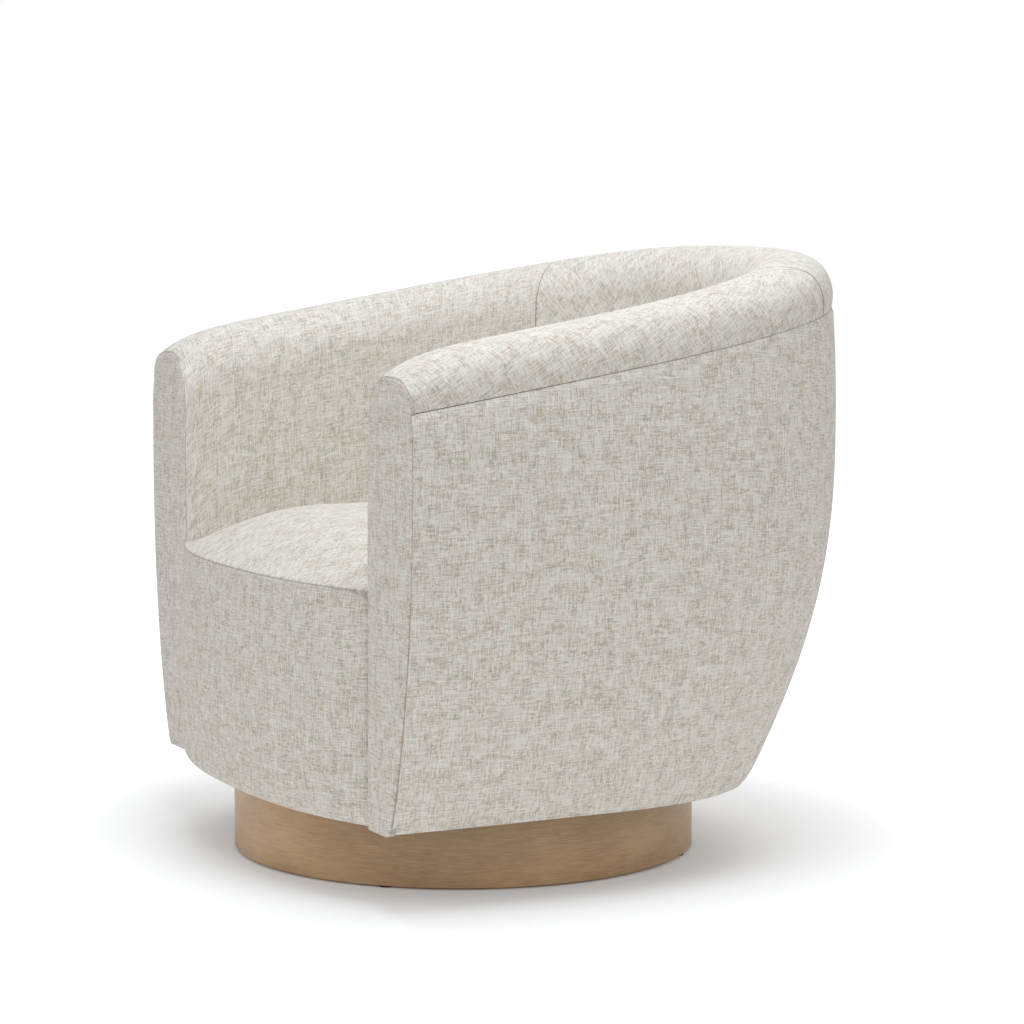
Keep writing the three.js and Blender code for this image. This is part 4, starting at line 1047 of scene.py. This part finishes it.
def camera():
    """The photo's camera."""
    data = bpy.data.cameras.new("camera")
    data.sensor_width, data.lens = SENSOR_WIDTH, CAMERA_LENS
    data.clip_end = CAMERA_RANGE
    yaw, pitch = math.radians(CAMERA_YAW), math.radians(CAMERA_PITCH)
    right = Vector((math.cos(yaw), math.sin(yaw), 0))
    ahead = Vector((-math.sin(yaw) * math.cos(pitch), math.cos(yaw) * math.cos(pitch), -math.sin(pitch)))
    up = right.cross(ahead)
    turn = Matrix((right, up, -ahead)).transposed().to_4x4()
    eye = bpy.data.objects.new("camera", data)
    eye.matrix_world = Matrix.Translation(Vector(CAMERA_PLACE) + Vector((0, AXIS_Y, 0))) @ turn
    bpy.context.scene.collection.objects.link(eye)
    bpy.context.scene.camera = eye


def seen_rays(f):
    """1 for rays that the camera or a reflection sees, 0 for those that light the chair."""
    direct = f.node("ShaderNodeLightPath", {}, {}, "Is Camera Ray")
    glossy = f.node("ShaderNodeLightPath", {}, {}, "Is Glossy Ray")
    return f.node("ShaderNodeMath", {"operation": "MAXIMUM"}, {0: direct, 1: glossy})


def studio_floor():
    """White floor that keeps the chair's shadow. What is seen glows more the further it is from the chair, so
    that the glow's fall towards the chair paints shadow round its foot, darkest under the drum.
    """
    no_selection()
    bpy.ops.mesh.primitive_plane_add(size=FLOOR_SIZE, location=(0, AXIS_Y, 0))
    floor = bpy.context.object
    floor.name = "studio_floor"
    f = Finish("studio_floor")
    sheet = f.node("ShaderNodeBsdfDiffuse", {}, {"Color": FLOOR_SHEET})
    bounce = f.node("ShaderNodeEmission", {}, {"Color": FLOOR_LIGHT, "Strength": FLOOR_LIGHT_STRENGTH})
    plain = f.node("ShaderNodeAddShader", {}, {0: sheet, 1: bounce})
    far = f.node("ShaderNodeVectorMath", {"operation": "LENGTH"}, {0: f.object_place()}, "Value")
    # Painted shadow: the glow fades towards the chair and is gone under the drum
    level = f.band(far, 0.26, 0.42, 0.25, 0.48) + f.band(far, 0.38, 0.85, 0.0, 0.42)
    level = level * f.band(far, 0.270, 0.284)
    glow = f.node("ShaderNodeEmission", {}, {"Color": f.mix(level, BLACK, WHITE), "Strength": 1.0})
    paper = f.node("ShaderNodeBsdfDiffuse", {}, {"Color": SHADOW_PAPER})
    lit = f.node("ShaderNodeAddShader", {}, {0: paper, 1: glow})
    f.close(f.node("ShaderNodeMixShader", {}, {0: seen_rays(f), 1: plain, 2: lit}))
    floor.data.materials.append(f.material)


def studio_air():
    """Even pale light from all round, and white where it is seen."""
    world = bpy.data.worlds.new("studio")
    bpy.context.scene.world = world
    world.use_nodes = True
    f = Finish("studio_air", world.node_tree)
    dome = f.node("ShaderNodeBackground", {}, {"Color": DOME_LIGHT, "Strength": DOME_STRENGTH})
    white = f.node("ShaderNodeBackground", {}, {"Color": WHITE, "Strength": 1.0})
    f.close(f.node("ShaderNodeMixShader", {}, {0: seen_rays(f), 1: dome, 2: white}), "ShaderNodeOutputWorld")


def softbox():
    """The one lamp, over the chair's left front."""
    data = bpy.data.lights.new("overhead_softbox", "AREA")
    data.shape, data.size, data.energy = "SQUARE", SOFTBOX_SIZE, SOFTBOX_WATTS
    data.color = SOFTBOX_COLOUR
    lamp = bpy.data.objects.new("overhead_softbox", data)
    lamp.location = SOFTBOX_PLACE
    towards = Vector(SOFTBOX_AIM) - Vector(SOFTBOX_PLACE)
    lamp.rotation_euler = towards.to_track_quat("-Z", "Y").to_euler()
    bpy.context.scene.collection.objects.link(lamp)


# The chair put together

bpy.context.scene.view_settings.view_transform = "Standard"
camera()
studio_floor()
studio_air()
softbox()

upholstery = linen()
covers = {**inside_covers(), **outside_covers(), **arm_fronts(), **seat(), **border()}
for node, cover in covers.items():
    cover.data.materials.append(upholstery)
    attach(cover, "chair_shell")
    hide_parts(node)

sheet, cut_area = dust_sheet()
sheet.data.materials.append(cambric())
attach(sheet, "chair_shell")
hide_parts("dust_cover")

drum = plinth_drum()
drum.data.materials.append(stained_wood())
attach(drum, "plinth")
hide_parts("plinth_wall")

# Finishes of the pieces that stay as the CAD made them, by the words in their names

FINISH_OF_SLOT = {
    "frame_timber": frame_timber(),
    "swivel_steel": zinc_steel(),
    "glide_plastic": glide_plastic(),
}
SLOT_WORDS = {
    "frame_timber": ("rail", "post", "board", "block"),
    "swivel_steel": ("plate", "race", "bolt", "screw", "spring", "cage"),
    "glide_plastic": ("glide",),
}


def slot_of(node):
    """The slot of a CAD node, or None for one that a cover or the drum replaces."""
    return next((slot for slot, words in SLOT_WORDS.items() if any(w in node for w in words)), None)


for name, node in frame["nodes"].items():
    slot = slot_of(name)
    if slot and not node.hide_render:
        node.data.materials.clear()
        node.data.materials.append(FINISH_OF_SLOT[slot])
